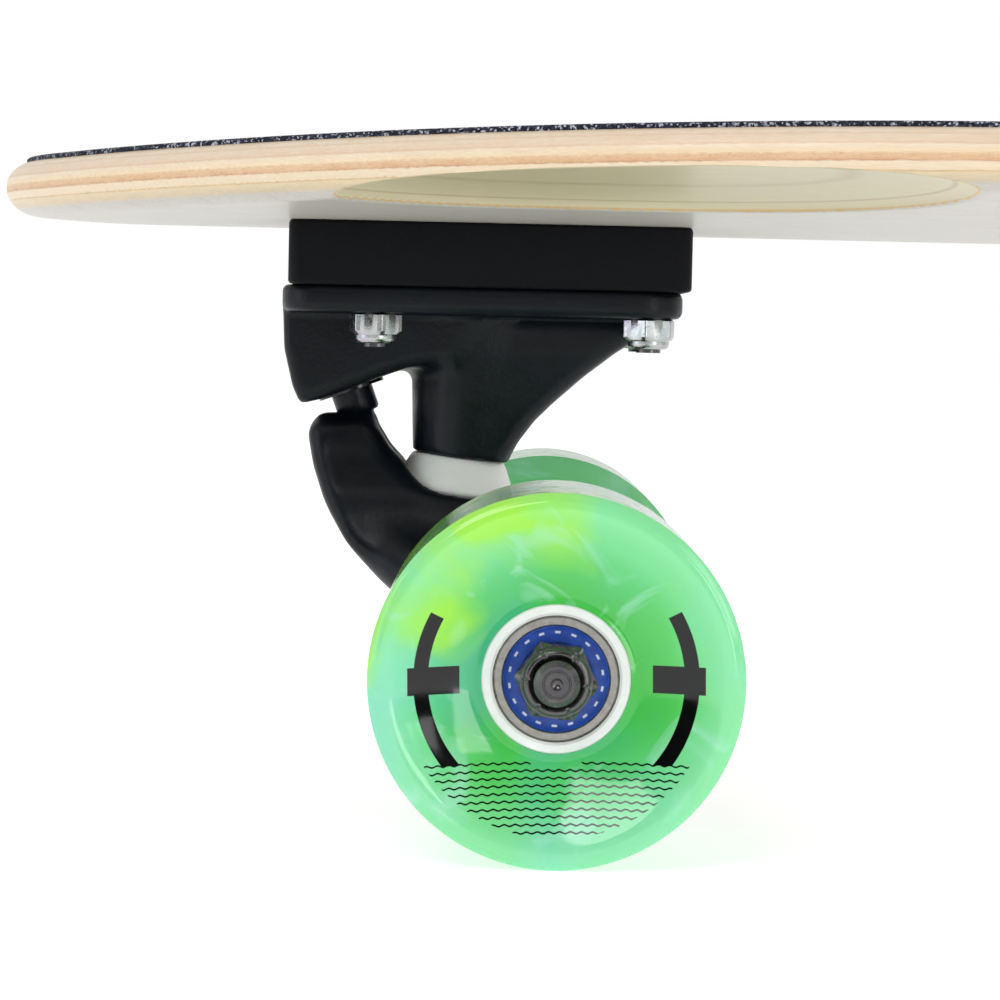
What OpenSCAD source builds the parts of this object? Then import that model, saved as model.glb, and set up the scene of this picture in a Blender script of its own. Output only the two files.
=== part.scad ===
/* [Deck] */
// Length of the deck, nose to tail
deck_l = 762; // [740:1:800]
// Greatest width of the deck
deck_w = 248; // [230:1:260]
// Thickness of the plywood
deck_t = 11; // [10:0.5:12]
// Rise of the rails above the flat middle
concave = 4.4; // [2:0.2:7]
// Angle of the kicktail, in degrees
kick_angle = 14; // [8:1:18]
// Length of the rounded nose
nose_l = 190; // [150:1:200]
// Length of the rounded tail
tail_l = 290; // [240:1:300]
// Depth of the wheel wells
well_d = 3.8; // [1:0.1:4.2]
// Thickness of the grip tape
tape_t = 0.9; // [0.6:0.1:1.2]

/* [Trucks] */
// Front axle to the nose tip
nose_to_axle = 112; // [105:1:120]
// Distance between the two axles
wheelbase = 468.4; // [450:0.2:480]
// Length of each axle, tip to tip
axle_l = 232; // [230:0.5:234]
// Height of the riser pads
riser_h = 12.7; // [10:0.1:13]
// Thickness of the baseplate's flange
flange_t = 5.3; // [5:0.1:6]

/* [Wheels] */
// Diameter of the wheels
wheel_d = 65; // [63:0.5:66]
// Width of the tread
wheel_w = 50; // [48:0.5:51]

/* [Hidden] */
ENDS = ["front", "rear"];
SIDES = ["left", "right"];
BOARD_PARTS = [
    "riser_pad", "baseplate", "pivot_cup", "kingpin", "kingpin_nut",
    "upper_bushing", "lower_bushing", "cup_washer", "mounting_bolts", "mounting_nuts"
];
HANGER_PARTS = [
    "hanger", "axle", "speed_washers", "axle_nuts", "bearing_inner_rings", "bearing_spacers"
];
WHEEL_PARTS = ["tyre", "core", "bearing_outer_rings", "bearing_balls", "bearing_shields"];

// Places along the board. X runs from the nose to the tail, Z = 0 is the ground.
front_axle_x = nose_to_axle - deck_l / 2;
rear_axle_x = front_axle_x + wheelbase;
axle_z = wheel_d / 2;
flange_z = 95.5;
flange_top = flange_z + flange_t;
deck_z = flange_top + riser_h;
deck_top = deck_z + deck_t;

// Mounting bolts, four to a truck
bolt_dx = 53.98;
bolt_dy = 41.28;
bolt_mid = -8.75;
bolt_r = 2.4;
bolt_hole_r = 2.65;
bolt_head_r = 4.8;
bolt_head_h = 2.7;

// Steering geometry in the truck's own frame: X = 0 at the axle, -X outwards
pivot = [-43.9, 87.2];
ring = [-20.4, 54.8];
neck_tilt = 20;
kingpin_tilt = 6.1;
kingpin_r = 4.76;
pivot_r = 5;
neck_r = 4.3;
neck_l = 13;
cup_r = 6.9;
cup_depth = 7.4;
cup_lip = 8;

// Heights along the kingpin from the middle of the hanger's ring
boss_face = 12;
ring_half = 4;
seat_gap = 0.05;
lower_bushing_h = 9.9;
well_r = 12.3;
well_swing = 5;
washer_t = 1.2;
kingpin_nut_h = 6.5;
kingpin_tip = -24;
kingpin_head = 39.6;
boss_r = 9.4;
kingpin_head_h = 5.6;

// Axle stack, outwards from the hanger's end
axle_r = 3.97;
bearing_w = 7;
bearing_gap = 10;
bearing_r = 11;
washer_w = 1;
outer_bearing_y = axle_l / 2 - 9.4;
core_w = 2 * bearing_w + bearing_gap;
hanger_end = outer_bearing_y - core_w - washer_w;
axle_nut_h = 5.8;
wheel_mid = outer_bearing_y - 19.3;
core_mid = outer_bearing_y - core_w / 2;
core_r = 13;
ball_r = 1.98;
ball_pitch_r = 7.5;
ball_count = 7;

$fn = 64;

// ---------- curves and outlines ----------

function unit(v) = v / norm(v);

// Shorter turn from one angle to another
function turn(a, b) = (b - a) > 180 ? b - a - 360 : (b - a) < -180 ? b - a + 360 : b - a;

// One corner p between o and q, rounded to radius r
function corner(o, p, q, r, steps = 5) =
    let (u = unit(o - p), v = unit(q - p))
    let (half = acos(min(1, max(-1, u * v))) / 2)
    let (c = p + unit(u + v) * r / sin(half))
    let (s = p + u * r / tan(half) - c, e = p + v * r / tan(half) - c)
    let (a = atan2(s[1], s[0]), d = turn(a, atan2(e[1], e[0])))
    [for (k = [0:steps]) c + r * [cos(a + d * k / steps), sin(a + d * k / steps)]];

// An outline of [x, y, corner radius] points
function rounded(pts) = [
    for (i = [0:len(pts) - 1])
        let (n = len(pts), o = pts[(i + n - 1) % n], p = pts[i], q = pts[(i + 1) % n])
        each p[2] > 0 ? corner([o[0], o[1]], [p[0], p[1]], [q[0], q[1]], p[2]) : [[p[0], p[1]]]
];

// Half an outline with its mirror image: across its second axis, or else across its first
function mirrored(pts, second = false) =
    let (sx = second ? 1 : -1)
    concat(pts, [for (i = [len(pts) - 2:-1:1]) [sx * pts[i][0], -sx * pts[i][1], pts[i][2]]]);

module rounded_rect(l, w, r) {
    square([l - 2 * r, w], center = true);
    square([l, w - 2 * r], center = true);
    for (x = [-1, 1], y = [-1, 1])
        translate([x * (l / 2 - r), y * (w / 2 - r)])
            circle(r);
}

// An XZ outline drawn across the board, from -half to +half in Y
module across(half, pts) {
    rotate([90, 0, 0])
        linear_extrude(2 * half, center = true)
            polygon(rounded(pts));
}

// An XY outline drawn upwards, from z0 to z1
module from_above(z0, z1, pts) {
    translate([0, 0, z0])
        linear_extrude(z1 - z0)
            polygon(rounded(pts));
}

// A YZ outline drawn along the board, from x0 to x1
module along(x0, x1, pts) {
    translate([x0, 0, 0])
        rotate([90, 0, 90])
            linear_extrude(x1 - x0)
                polygon(rounded(pts));
}

module ring_solid(r0, r1, h) {
    difference() {
        cylinder(h = h, r = r1);
        translate([0, 0, -1])
            cylinder(h = h + 2, r = r0);
    }
}

// ---------- placing ----------

module truck(end) {
    translate([end == "front" ? front_axle_x : rear_axle_x, 0, 0])
        rotate([0, 0, end == "front" ? 0 : 180])
            children();
}

// Origin at the middle of the hanger's ring, +Z up the kingpin
module on_kingpin() {
    translate([ring[0], 0, ring[1]])
        rotate([0, kingpin_tilt, 0])
            children();
}

// Origin at the middle of the pivot's ball, +Z up its neck
module on_pivot() {
    translate([pivot[0], 0, pivot[1]])
        rotate([0, -neck_tilt, 0])
            children();
}

// Origin on the axle's line at height y from the board's centreline, +Z outwards
module on_axle(y, side = 1) {
    translate([0, 0, axle_z])
        rotate([-90 * side, 0, 0])
            translate([0, 0, y])
                children();
}

module both_ends_of_axle(y) {
    for (s = [-1, 1])
        on_axle(y, s)
            children();
}

module at_bolts() {
    for (x = [-1, 1], y = [-1, 1])
        translate([bolt_mid + x * bolt_dx / 2, y * bolt_dy / 2, 0])
            children();
}

// A wheel sits on the left when it is on the rider's left, -Y
module wheel(end, side) {
    translate([end == "front" ? front_axle_x : rear_axle_x, 0, 0])
        on_axle(0, side == "left" ? -1 : 1)
            children();
}

// ---------- deck ----------

// Superellipse exponents that give the tapered nose and the blunt tail
nose_n = 1.7;
tail_n = 2.6;
nose_end_x = nose_l - deck_l / 2;
tail_end_x = deck_l / 2 - tail_l;
flat_y = 28;
kick_x = rear_axle_x + 65;
kick_blend = 60;
spine_x = [front_axle_x - 31, rear_axle_x + 28];
edge_inset = 4;
top_edge_r = 3.6;
bottom_edge_r = 5.4;
bottom_inset = bottom_edge_r + 0.6;

function half_outline() = concat(
    [for (a = [0:5:90])
        [nose_end_x - nose_l * pow(cos(a), 2 / nose_n), deck_w / 2 * pow(sin(a), 2 / nose_n)]],
    [for (k = [1:18]) [nose_end_x + (tail_end_x - nose_end_x) * k / 18, deck_w / 2]],
    [for (a = [86:-4:2])
        [tail_end_x + tail_l * pow(cos(a), 2 / tail_n), deck_w / 2 * pow(sin(a), 2 / tail_n)]],
    [[deck_l / 2, 0]]
);
function deck_outline() =
    let (h = half_outline(), n = len(h))
    concat(h, [for (i = [n - 2:-1:1]) [h[i][0], -h[i][1]]]);

function ease(t) = let (u = min(1, max(0, t))) u * u * (3 - 2 * u);

// Height of the curved sheet above its flat middle
function sheet(x, y) =
    let (tail = 1 - 0.35 * ease((x - kick_x) / 100))
    let (side = max(0, abs(y) - flat_y) / (deck_w / 2 - flat_y))
    let (d = max(0, x - kick_x))
    let (rise = d < kick_blend ? d * d / (2 * kick_blend) : d - kick_blend / 2)
    concave * tail * pow(side, 1.5) + tan(kick_angle) * rise;

// Scooped wheel wells: half length, half width and distance from the board's centreline
well_l = 63.3;
well_w = 42;
well_y = 112;
well_shift = 6.5;
well_x = [front_axle_x + well_shift, rear_axle_x - well_shift];

// Height of the scoops above the underside, negative outside them
function scoop(x, y) =
    let (lengthwise = min([for (c = well_x) abs(x - c)]) / well_l)
    let (inside = 1 - pow(lengthwise, 2.6) - pow((abs(y) - well_y) / well_w, 2))
    well_d * sign(inside) * sqrt(abs(inside));

// The point at a distance in from an outline point, towards the deck's spine
function inset_point(p, t, e) =
    let (f = [min(spine_x[1], max(spine_x[0], p[0])), 0])
    let (d = norm(p - f))
    f + (p - f) * t * (d - e) / d;

// Points round the deck, a height above the bent sheet's underside
function ring_at(t, e, h) = [
    for (p = deck_outline())
        let (q = inset_point(p, t, e))
        [q[0], q[1], deck_z + h + sheet(q[0], q[1])]
];

// The same on the underside, where the wells are scooped out
function scooped_ring_at(t, e, h) = [
    for (p = deck_outline())
        let (q = inset_point(p, t, e))
        [q[0], q[1], deck_z + max(h, scoop(q[0], q[1])) + sheet(q[0], q[1])]
];

TOP_STEPS = [0.22, 0.4, 0.55, 0.7, 0.85, 1];
BOTTOM_STEPS = [1, 0.95, 0.9, 0.84, 0.78, 0.72, 0.66, 0.6, 0.54, 0.46, 0.35, 0.22];

// A closed solid from rings of equal length, first and last capped flat.
// The rings run from the top down, or from the bottom up when rising.
module lofted(rings, rising = false) {
    n = len(rings[0]);
    m = len(rings);
    pts = [for (r = rings) each r];
    skin = [
        for (j = [0:m - 2]) for (i = [0:n - 1])
            let (k = (i + 1) % n)
            each [
                [j * n + i, j * n + k, (j + 1) * n + i],
                [j * n + k, (j + 1) * n + k, (j + 1) * n + i]
            ]
    ];
    caps = [[for (i = [n - 1:-1:0]) i], [for (i = [0:n - 1]) (m - 1) * n + i]];
    faces = concat(skin, caps);
    turned = [for (f = faces) [for (i = [len(f) - 1:-1:0]) f[i]]];
    polyhedron(points = pts, faces = rising ? turned : faces, convexity = 4);
}

module deck() {
    color("burlywood")
        difference() {
            lofted(concat(
                [for (t = TOP_STEPS) ring_at(t, edge_inset, deck_t)],
                [for (a = [0:30:90])
                    ring_at(1, top_edge_r * (1 - sin(a)), deck_t - top_edge_r * (1 - cos(a)))],
                [for (a = [0:22.5:90])
                    scooped_ring_at(1, bottom_edge_r * (1 - cos(a)), bottom_edge_r * (1 - sin(a)))],
                [for (t = BOTTOM_STEPS) scooped_ring_at(t, bottom_inset, 0)]
            ));
            for (e = ENDS)
                truck(e)
                    at_bolts() {
                        translate([0, 0, deck_z - 1])
                            cylinder(h = deck_t + 2, r = bolt_hole_r);
                        translate([0, 0, deck_top - bolt_head_h])
                            cylinder(h = bolt_head_h + 0.5, r1 = bolt_hole_r, r2 = bolt_head_r + 0.5);
                    }
        }
}

module grip_tape() {
    color("darkslategray")
        difference() {
            lofted(concat(
                [for (t = TOP_STEPS) ring_at(t, edge_inset, deck_t)],
                [for (i = [len(TOP_STEPS) - 1:-1:0]) ring_at(TOP_STEPS[i], edge_inset, deck_t + tape_t)]
            ), rising = true);
            for (e = ENDS)
                truck(e)
                    at_bolts()
                        translate([0, 0, deck_top - 1])
                            cylinder(h = tape_t + 2, r = bolt_head_r + 0.3);
        }
}

// ---------- parts fixed to the board ----------

module riser_pad() {
    color("dimgray")
        difference() {
            translate([-13.35, 0, flange_top])
                linear_extrude(riser_h)
                    rounded_rect(79.3, 56, 3);
            at_bolts()
                translate([0, 0, flange_top - 1])
                    cylinder(h = riser_h + 2, r = bolt_hole_r + 0.1);
        }
}

// Side view of the block that holds the pivot cup, running back to the boss
PIVOT_BLOCK = [
    [-54.8, flange_z + 1, 0], [-54.4, 88, 10], [-52.6, 80.5, 5], [-51, 77, 1.2], [-46.5, 78.1, 3],
    [-36, 82.3, 10], [-29.5, 84.7, 8], [-22, 85.6, 0], [-16, flange_z + 1, 0]
];
// Side view of the strut that carries the kingpin and sweeps back under the flange
STRUT_SIDE = [
    [-18, 62, 0], [-18, flange_z + 1, 0], [17.5, flange_z + 1, 0], [15.5, 90.7, 2], [12, 88.4, 12],
    [6, 83.7, 30], [0, 78.3, 30], [-3.8, 74.5, 14], [-6.9, 70.2, 10], [-8.8, 66.9, 2], [-10.4, 62, 0]
];
// Front view of half the strut
STRUT_FRONT = [
    [0, 62, 0], [9, 62, 0], [9.5, 67, 14], [12.6, 88, 12], [12.9, flange_z + 1, 0], [0, flange_z + 1, 0]
];
// Side view of the fillet between the boss and the block's underside
ARCH = [
    [-28, 80.8, 0], [-29.2, 80.8, 0], [-29.2, 84.5, 2.6], [-35, 82.5, 0], [-35, 86, 0], [-28, 86, 0]
];

module baseplate() {
    color("#25292f")
        difference() {
            union() {
                translate([-14.75, 0, flange_z])
                    linear_extrude(flange_t)
                        rounded_rect(79.3, 54, 8);
                across(13.5, PIVOT_BLOCK);
                across(6, ARCH);
                intersection() {
                    across(14, STRUT_SIDE);
                    along(-20, 20, mirrored(STRUT_FRONT));
                }
                on_kingpin()
                    translate([0, 0, boss_face])
                        cylinder(h = 29, r1 = boss_r, r2 = boss_r + 4);
            }
            // the boss ends square to the kingpin
            on_kingpin()
                translate([0, 0, boss_face - 12])
                    cylinder(h = 12, r = 18);
            on_kingpin() {
                cylinder(h = 60, r = kingpin_r + 0.06);
                translate([0, 0, kingpin_head])
                    cylinder(h = 20, r = 8.35, $fn = 6);
            }
            on_pivot()
                translate([0, 0, -cup_lip - 4])
                    cylinder(h = cup_lip + cup_depth + 4.05, r = cup_r + 0.04);
            at_bolts()
                translate([0, 0, flange_z - 1])
                    cylinder(h = flange_t + 2, r = bolt_hole_r + 0.1);
        }
}

module pivot_cup() {
    color("black")
        on_pivot()
            difference() {
                translate([0, 0, -cup_lip])
                    cylinder(h = cup_lip + cup_depth, r = cup_r);
                sphere(r = pivot_r + 0.05);
                // mouth, flared so that the neck can swing
                translate([0, 0, -cup_lip - 0.1])
                    cylinder(h = cup_lip + 0.1, r1 = neck_r + 1.5, r2 = pivot_r + 0.05);
            }
}

module kingpin() {
    color("silver")
        on_kingpin() {
            translate([0, 0, kingpin_tip + 1])
                cylinder(h = kingpin_head - kingpin_tip, r = kingpin_r);
            translate([0, 0, kingpin_tip])
                cylinder(h = 1, r1 = kingpin_r - 1, r2 = kingpin_r);
            translate([0, 0, kingpin_head])
                cylinder(h = kingpin_head_h, r = 8.2, $fn = 6);
        }
}

lower_washer_top = -ring_half - seat_gap - lower_bushing_h;

module kingpin_nut() {
    color("silver")
        on_kingpin()
            translate([0, 0, lower_washer_top - washer_t])
                mirror([0, 0, 1])
                    difference() {
                        union() {
                            cylinder(h = kingpin_nut_h - 2, r = 8.2, $fn = 6);
                            translate([0, 0, kingpin_nut_h - 2])
                                cylinder(h = 2, r1 = 7, r2 = 6);
                        }
                        translate([0, 0, -1])
                            cylinder(h = kingpin_nut_h + 2, r = kingpin_r + 0.02);
                    }
}

module bushing(pts) {
    rotate_extrude()
        polygon(concat([[kingpin_r + 0.2, pts[0][1]]], pts, [[kingpin_r + 0.2, pts[len(pts) - 1][1]]]));
}

module upper_bushing() {
    color("ivory")
        on_kingpin()
            bushing([
                [11.6, -0.05 + ring_half + 0.1], [12, ring_half + 1.2], [12, ring_half + 2],
                [9.7, boss_face - 1.4], [9.3, boss_face - seat_gap]
            ]);
}

module lower_bushing() {
    color("ivory")
        on_kingpin()
            translate([0, 0, lower_washer_top])
                bushing([
                    [9.2, 0.02], [9.7, 1], [10.2, lower_bushing_h / 2], [9.7, lower_bushing_h - 1],
                    [9.2, lower_bushing_h]
                ]);
}

module cup_washer() {
    color("silver")
        on_kingpin()
            translate([0, 0, lower_washer_top - washer_t]) {
                ring_solid(kingpin_r + 0.1, 10.7, washer_t);
                translate([0, 0, washer_t / 2])
                    ring_solid(10.3, 11.2, washer_t + 0.4);
            }
}

nut_h = 4.2;
bolt_tip_z = flange_z - nut_h - 1.8 - 0.7;

module mounting_bolts() {
    color("#2b2b2d")
        at_bolts()
            difference() {
                union() {
                    translate([0, 0, bolt_tip_z])
                        cylinder(h = deck_top - 0.5 - bolt_tip_z, r = bolt_r);
                    translate([0, 0, deck_top - bolt_head_h + 0.3])
                        cylinder(h = bolt_head_h, r1 = bolt_r, r2 = bolt_head_r);
                }
                for (a = [0, 90])
                    rotate([0, 0, a])
                        translate([-2.6, -0.5, deck_top - 1.5])
                            cube([5.2, 1, 3]);
            }
}

module mounting_nuts() {
    color("gainsboro")
        at_bolts()
            translate([0, 0, flange_z])
                mirror([0, 0, 1])
                    difference() {
                        union() {
                            rotate([0, 0, 15])
                                cylinder(h = nut_h, r = 9.525 / 2 / cos(30), $fn = 6);
                            translate([0, 0, nut_h])
                                cylinder(h = 1.8, r1 = 4.3, r2 = 3.5);
                        }
                        translate([0, 0, -1])
                            cylinder(h = 8, r = bolt_r + 0.02);
                    }
}

// ---------- parts of the hanger ----------

// Side view of the hanger, from the shoulder under the pivot round to the axle beam
HANGER_SIDE = [
    [-47.4, 75.4, 2], [-49.8, 71.7, 5], [-48.4, 64.7, 20], [-45.4, 56.7, 30], [-40.9, 49.3, 30],
    [-33.5, 41.6, 30], [-9, 24.4, 8], [2, 24.2, 5], [7.5, 29, 4], [7, 39, 5], [-4.5, 50, 10],
    [-7, 58, 1.5], [-17.4, 58.2, 0], [-23.2, 59.6, 12], [-29, 64.7, 5], [-33, 68.8, 8],
    [-35.6, 73, 4], [-36.2, 76.2, 1.5]
];
// Front view of half the hanger, widening down to the axle beam, and its outline from above
HANGER_FRONT = [
    [0, 77.2, 0], [5.2, 77, 3], [8.8, 73, 4], [9.6, 68, 14], [14.6, 60, 8], [16.5, 53, 12],
    [27, 45, 14], [52, 41, 30], [70, 36, 0], [70, 29, 0], [50, 26, 20], [16, 22, 0], [0, 22, 0]
];
HANGER_PLAN = [
    [-60, 0, 0], [-60, 19, 0], [-36, 19, 8], [-24, 27, 14], [-11.5, 42, 16], [-8.6, 72, 0], [9, 72, 0],
    [9, 0, 0]
];

module axle_beam() {
    on_axle(-hanger_end)
        rotate_extrude()
            polygon([
                [0, 0], [7.2, 0], [7.6, 0.4], [7.6, 8], [9, 22], [9, 2 * hanger_end - 22],
                [7.6, 2 * hanger_end - 8], [7.6, 2 * hanger_end - 0.4], [7.2, 2 * hanger_end],
                [0, 2 * hanger_end]
            ]);
}

module hanger() {
    color("#25292f")
        difference() {
            union() {
                intersection() {
                    across(72, HANGER_SIDE);
                    along(-60, 20, mirrored(HANGER_FRONT));
                    from_above(20, 80, mirrored(HANGER_PLAN, true));
                }
                on_kingpin()
                    translate([0, 0, -ring_half])
                        cylinder(h = 2 * ring_half, r = 14.4);
                axle_beam();
                on_pivot() {
                    translate([0, 0, -neck_l])
                        cylinder(h = neck_l, r = neck_r);
                    sphere(r = pivot_r);
                }
            }
            // the ring's bore, loose on the kingpin so that the hanger can tilt
            on_kingpin()
                translate([0, 0, -20])
                    cylinder(h = 40, r = 8);
            // seat of the upper bushing
            on_kingpin()
                translate([0, 0, ring_half])
                    cylinder(h = 30, r = 12.8);
            // well for the lower bushing, washer and nut, open below
            on_kingpin()
                translate([0, 0, -ring_half - 45]) {
                    translate([-well_r, -well_swing, 0])
                        cube([2 * well_r, 2 * well_swing, 45]);
                    for (s = [-1, 1])
                        translate([0, well_swing * s, 0])
                            cylinder(h = 45, r = well_r);
                }
            on_axle(-axle_l / 2)
                cylinder(h = axle_l, r = axle_r + 0.02);
        }
}

module axle() {
    color("#3a3a3e")
        on_axle(-axle_l / 2)
            rotate_extrude()
                polygon([
                    [0, 0], [3.1, 0], [axle_r, 0.9], [axle_r, axle_l - 0.9], [3.1, axle_l], [0, axle_l]
                ]);
}

module speed_washers() {
    color("silver") {
        both_ends_of_axle(hanger_end)
            ring_solid(4.05, 5.9, washer_w);
        both_ends_of_axle(outer_bearing_y)
            ring_solid(4.05, 5.9, washer_w);
    }
}

module axle_nuts() {
    color("#3a3a3e")
        both_ends_of_axle(outer_bearing_y + washer_w)
            difference() {
                union() {
                    cylinder(h = axle_nut_h - 1.2, r = 12.7 / 2 / cos(30), $fn = 6);
                    translate([0, 0, axle_nut_h - 1.2])
                        cylinder(h = 1.2, r1 = 6, r2 = 5.5);
                }
                translate([0, 0, -1])
                    cylinder(h = axle_nut_h + 2, r = axle_r + 0.02);
            }
}

// One ring of a ball bearing from r0 to r1, grooved for the balls
module race(r0, r1) {
    rotate_extrude()
        difference() {
            translate([r0, 0])
                square([r1 - r0, bearing_w]);
            translate([ball_pitch_r, bearing_w / 2])
                circle(ball_r + 0.07);
        }
}

BEARING_Y = [outer_bearing_y - core_w, outer_bearing_y - bearing_w];

module bearing_inner_rings() {
    color("silver")
        for (y = BEARING_Y)
            both_ends_of_axle(y)
                race(4, 6);
}

module bearing_spacers() {
    color("silver")
        both_ends_of_axle(outer_bearing_y - bearing_w - bearing_gap)
            ring_solid(4.05, 5.2, bearing_gap);
}

// ---------- parts of a wheel, with +Z outwards along the axle ----------

TREAD = wheel_w / 2;
WHEEL_R = wheel_d / 2;
// Half section of the tyre, from the core's inner end round the tread to its outer end
TYRE = [
    [core_r, core_mid - wheel_mid - core_w / 2, 0], [16, -6, 3], [25.5, 1 - TREAD, 4],
    [27.5, -TREAD - 0.6, 1.5], [31, -TREAD - 0.6, 1], [WHEEL_R, -TREAD, 0],
    [WHEEL_R, TREAD, 0], [31.4, TREAD + 0.9, 0.8], [27.5, TREAD + 0.6, 6], [20, TREAD - 3.4, 10],
    [15.5, TREAD - 5.6, 4], [core_r, core_mid - wheel_mid + core_w / 2 + 0.2, 0]
];

module tyre() {
    color("#35c5a6")
        translate([0, 0, wheel_mid])
            rotate_extrude($fn = 96)
                polygon(rounded(TYRE));
}

module core() {
    color("whitesmoke")
        translate([0, 0, outer_bearing_y - core_w])
            difference() {
                cylinder(h = core_w, r = core_r - 0.02);
                translate([0, 0, -1])
                    cylinder(h = core_w + 2, r = 9.2);
                for (z = [-1, core_w - bearing_w])
                    translate([0, 0, z])
                        cylinder(h = bearing_w + 1, r = bearing_r + 0.02);
            }
}

module bearing_outer_rings() {
    color("silver")
        for (y = BEARING_Y)
            translate([0, 0, y])
                race(9.2, bearing_r);
}

module bearing_balls() {
    color("silver")
        for (y = BEARING_Y, k = [1:ball_count])
            translate([0, 0, y + bearing_w / 2])
                rotate([0, 0, 360 / ball_count * k])
                    translate([ball_pitch_r, 0, 0])
                        sphere(r = ball_r, $fn = 32);
}

module bearing_shields() {
    color("royalblue")
        for (y = BEARING_Y, z = [0.25, bearing_w - 0.65])
            translate([0, 0, y + z])
                ring_solid(6.3, 9.15, 0.4);
}

// ---------- the assembly ----------

deck();
grip_tape();
for (e = ENDS) {
    truck(e) riser_pad();
    truck(e) baseplate();
    truck(e) pivot_cup();
    truck(e) kingpin();
    truck(e) kingpin_nut();
    truck(e) upper_bushing();
    truck(e) lower_bushing();
    truck(e) cup_washer();
    truck(e) mounting_bolts();
    truck(e) mounting_nuts();
    truck(e) hanger();
    truck(e) axle();
    truck(e) speed_washers();
    truck(e) axle_nuts();
    truck(e) bearing_inner_rings();
    truck(e) bearing_spacers();
    for (s = SIDES) {
        wheel(e, s) tyre();
        wheel(e, s) core();
        wheel(e, s) bearing_outer_rings();
        wheel(e, s) bearing_balls();
        wheel(e, s) bearing_shields();
    }
}
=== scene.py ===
import math

import bmesh
import bpy
import numpy as np
from mathutils import Matrix, Vector


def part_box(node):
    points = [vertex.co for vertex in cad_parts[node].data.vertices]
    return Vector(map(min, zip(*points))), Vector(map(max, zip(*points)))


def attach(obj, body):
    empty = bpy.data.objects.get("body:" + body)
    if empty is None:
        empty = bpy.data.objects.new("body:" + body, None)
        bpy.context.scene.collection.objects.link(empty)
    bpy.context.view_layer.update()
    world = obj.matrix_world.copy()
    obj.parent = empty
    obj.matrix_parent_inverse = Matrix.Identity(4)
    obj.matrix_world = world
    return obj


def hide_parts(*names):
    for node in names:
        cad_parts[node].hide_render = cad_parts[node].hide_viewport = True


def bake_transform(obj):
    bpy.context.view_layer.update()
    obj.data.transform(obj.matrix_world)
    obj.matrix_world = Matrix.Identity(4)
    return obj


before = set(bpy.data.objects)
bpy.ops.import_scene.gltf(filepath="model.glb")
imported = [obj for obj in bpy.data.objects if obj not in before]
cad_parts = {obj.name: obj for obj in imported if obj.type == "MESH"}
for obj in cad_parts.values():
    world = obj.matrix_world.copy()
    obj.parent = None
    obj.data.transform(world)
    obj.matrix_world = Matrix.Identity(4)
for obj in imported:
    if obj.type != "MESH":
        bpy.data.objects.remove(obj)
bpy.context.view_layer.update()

MM = 0.001
ENDS = ("front", "rear")
SIDES = ("left", "right")


# ---------- places, all from the frame, in metres ----------

def middle(node):
    lo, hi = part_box(node)
    return (lo + hi) / 2


def top(node):
    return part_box(node)[1].z


AXLE = {end: middle(f"{end}_axle") for end in ENDS}
OUT_X = {"front": -1, "rear": 1}
AXLE_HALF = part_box("front_axle")[1].y
WHEEL_R = (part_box("front_left_tyre")[1].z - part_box("front_left_tyre")[0].z) / 2


def hanger_body(end):
    return f"{end}_hanger_assembly"


# ---------- procedural materials ----------

def linear(screen):
    """A screen colour in hexadecimal, as the linear values that shaders use."""
    channels = [c / 255 for c in bytes.fromhex(screen)]
    return (*((c / 12.92) if c <= 0.04 else ((c + 0.055) / 1.055) ** 2.4 for c in channels), 1.0)


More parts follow.
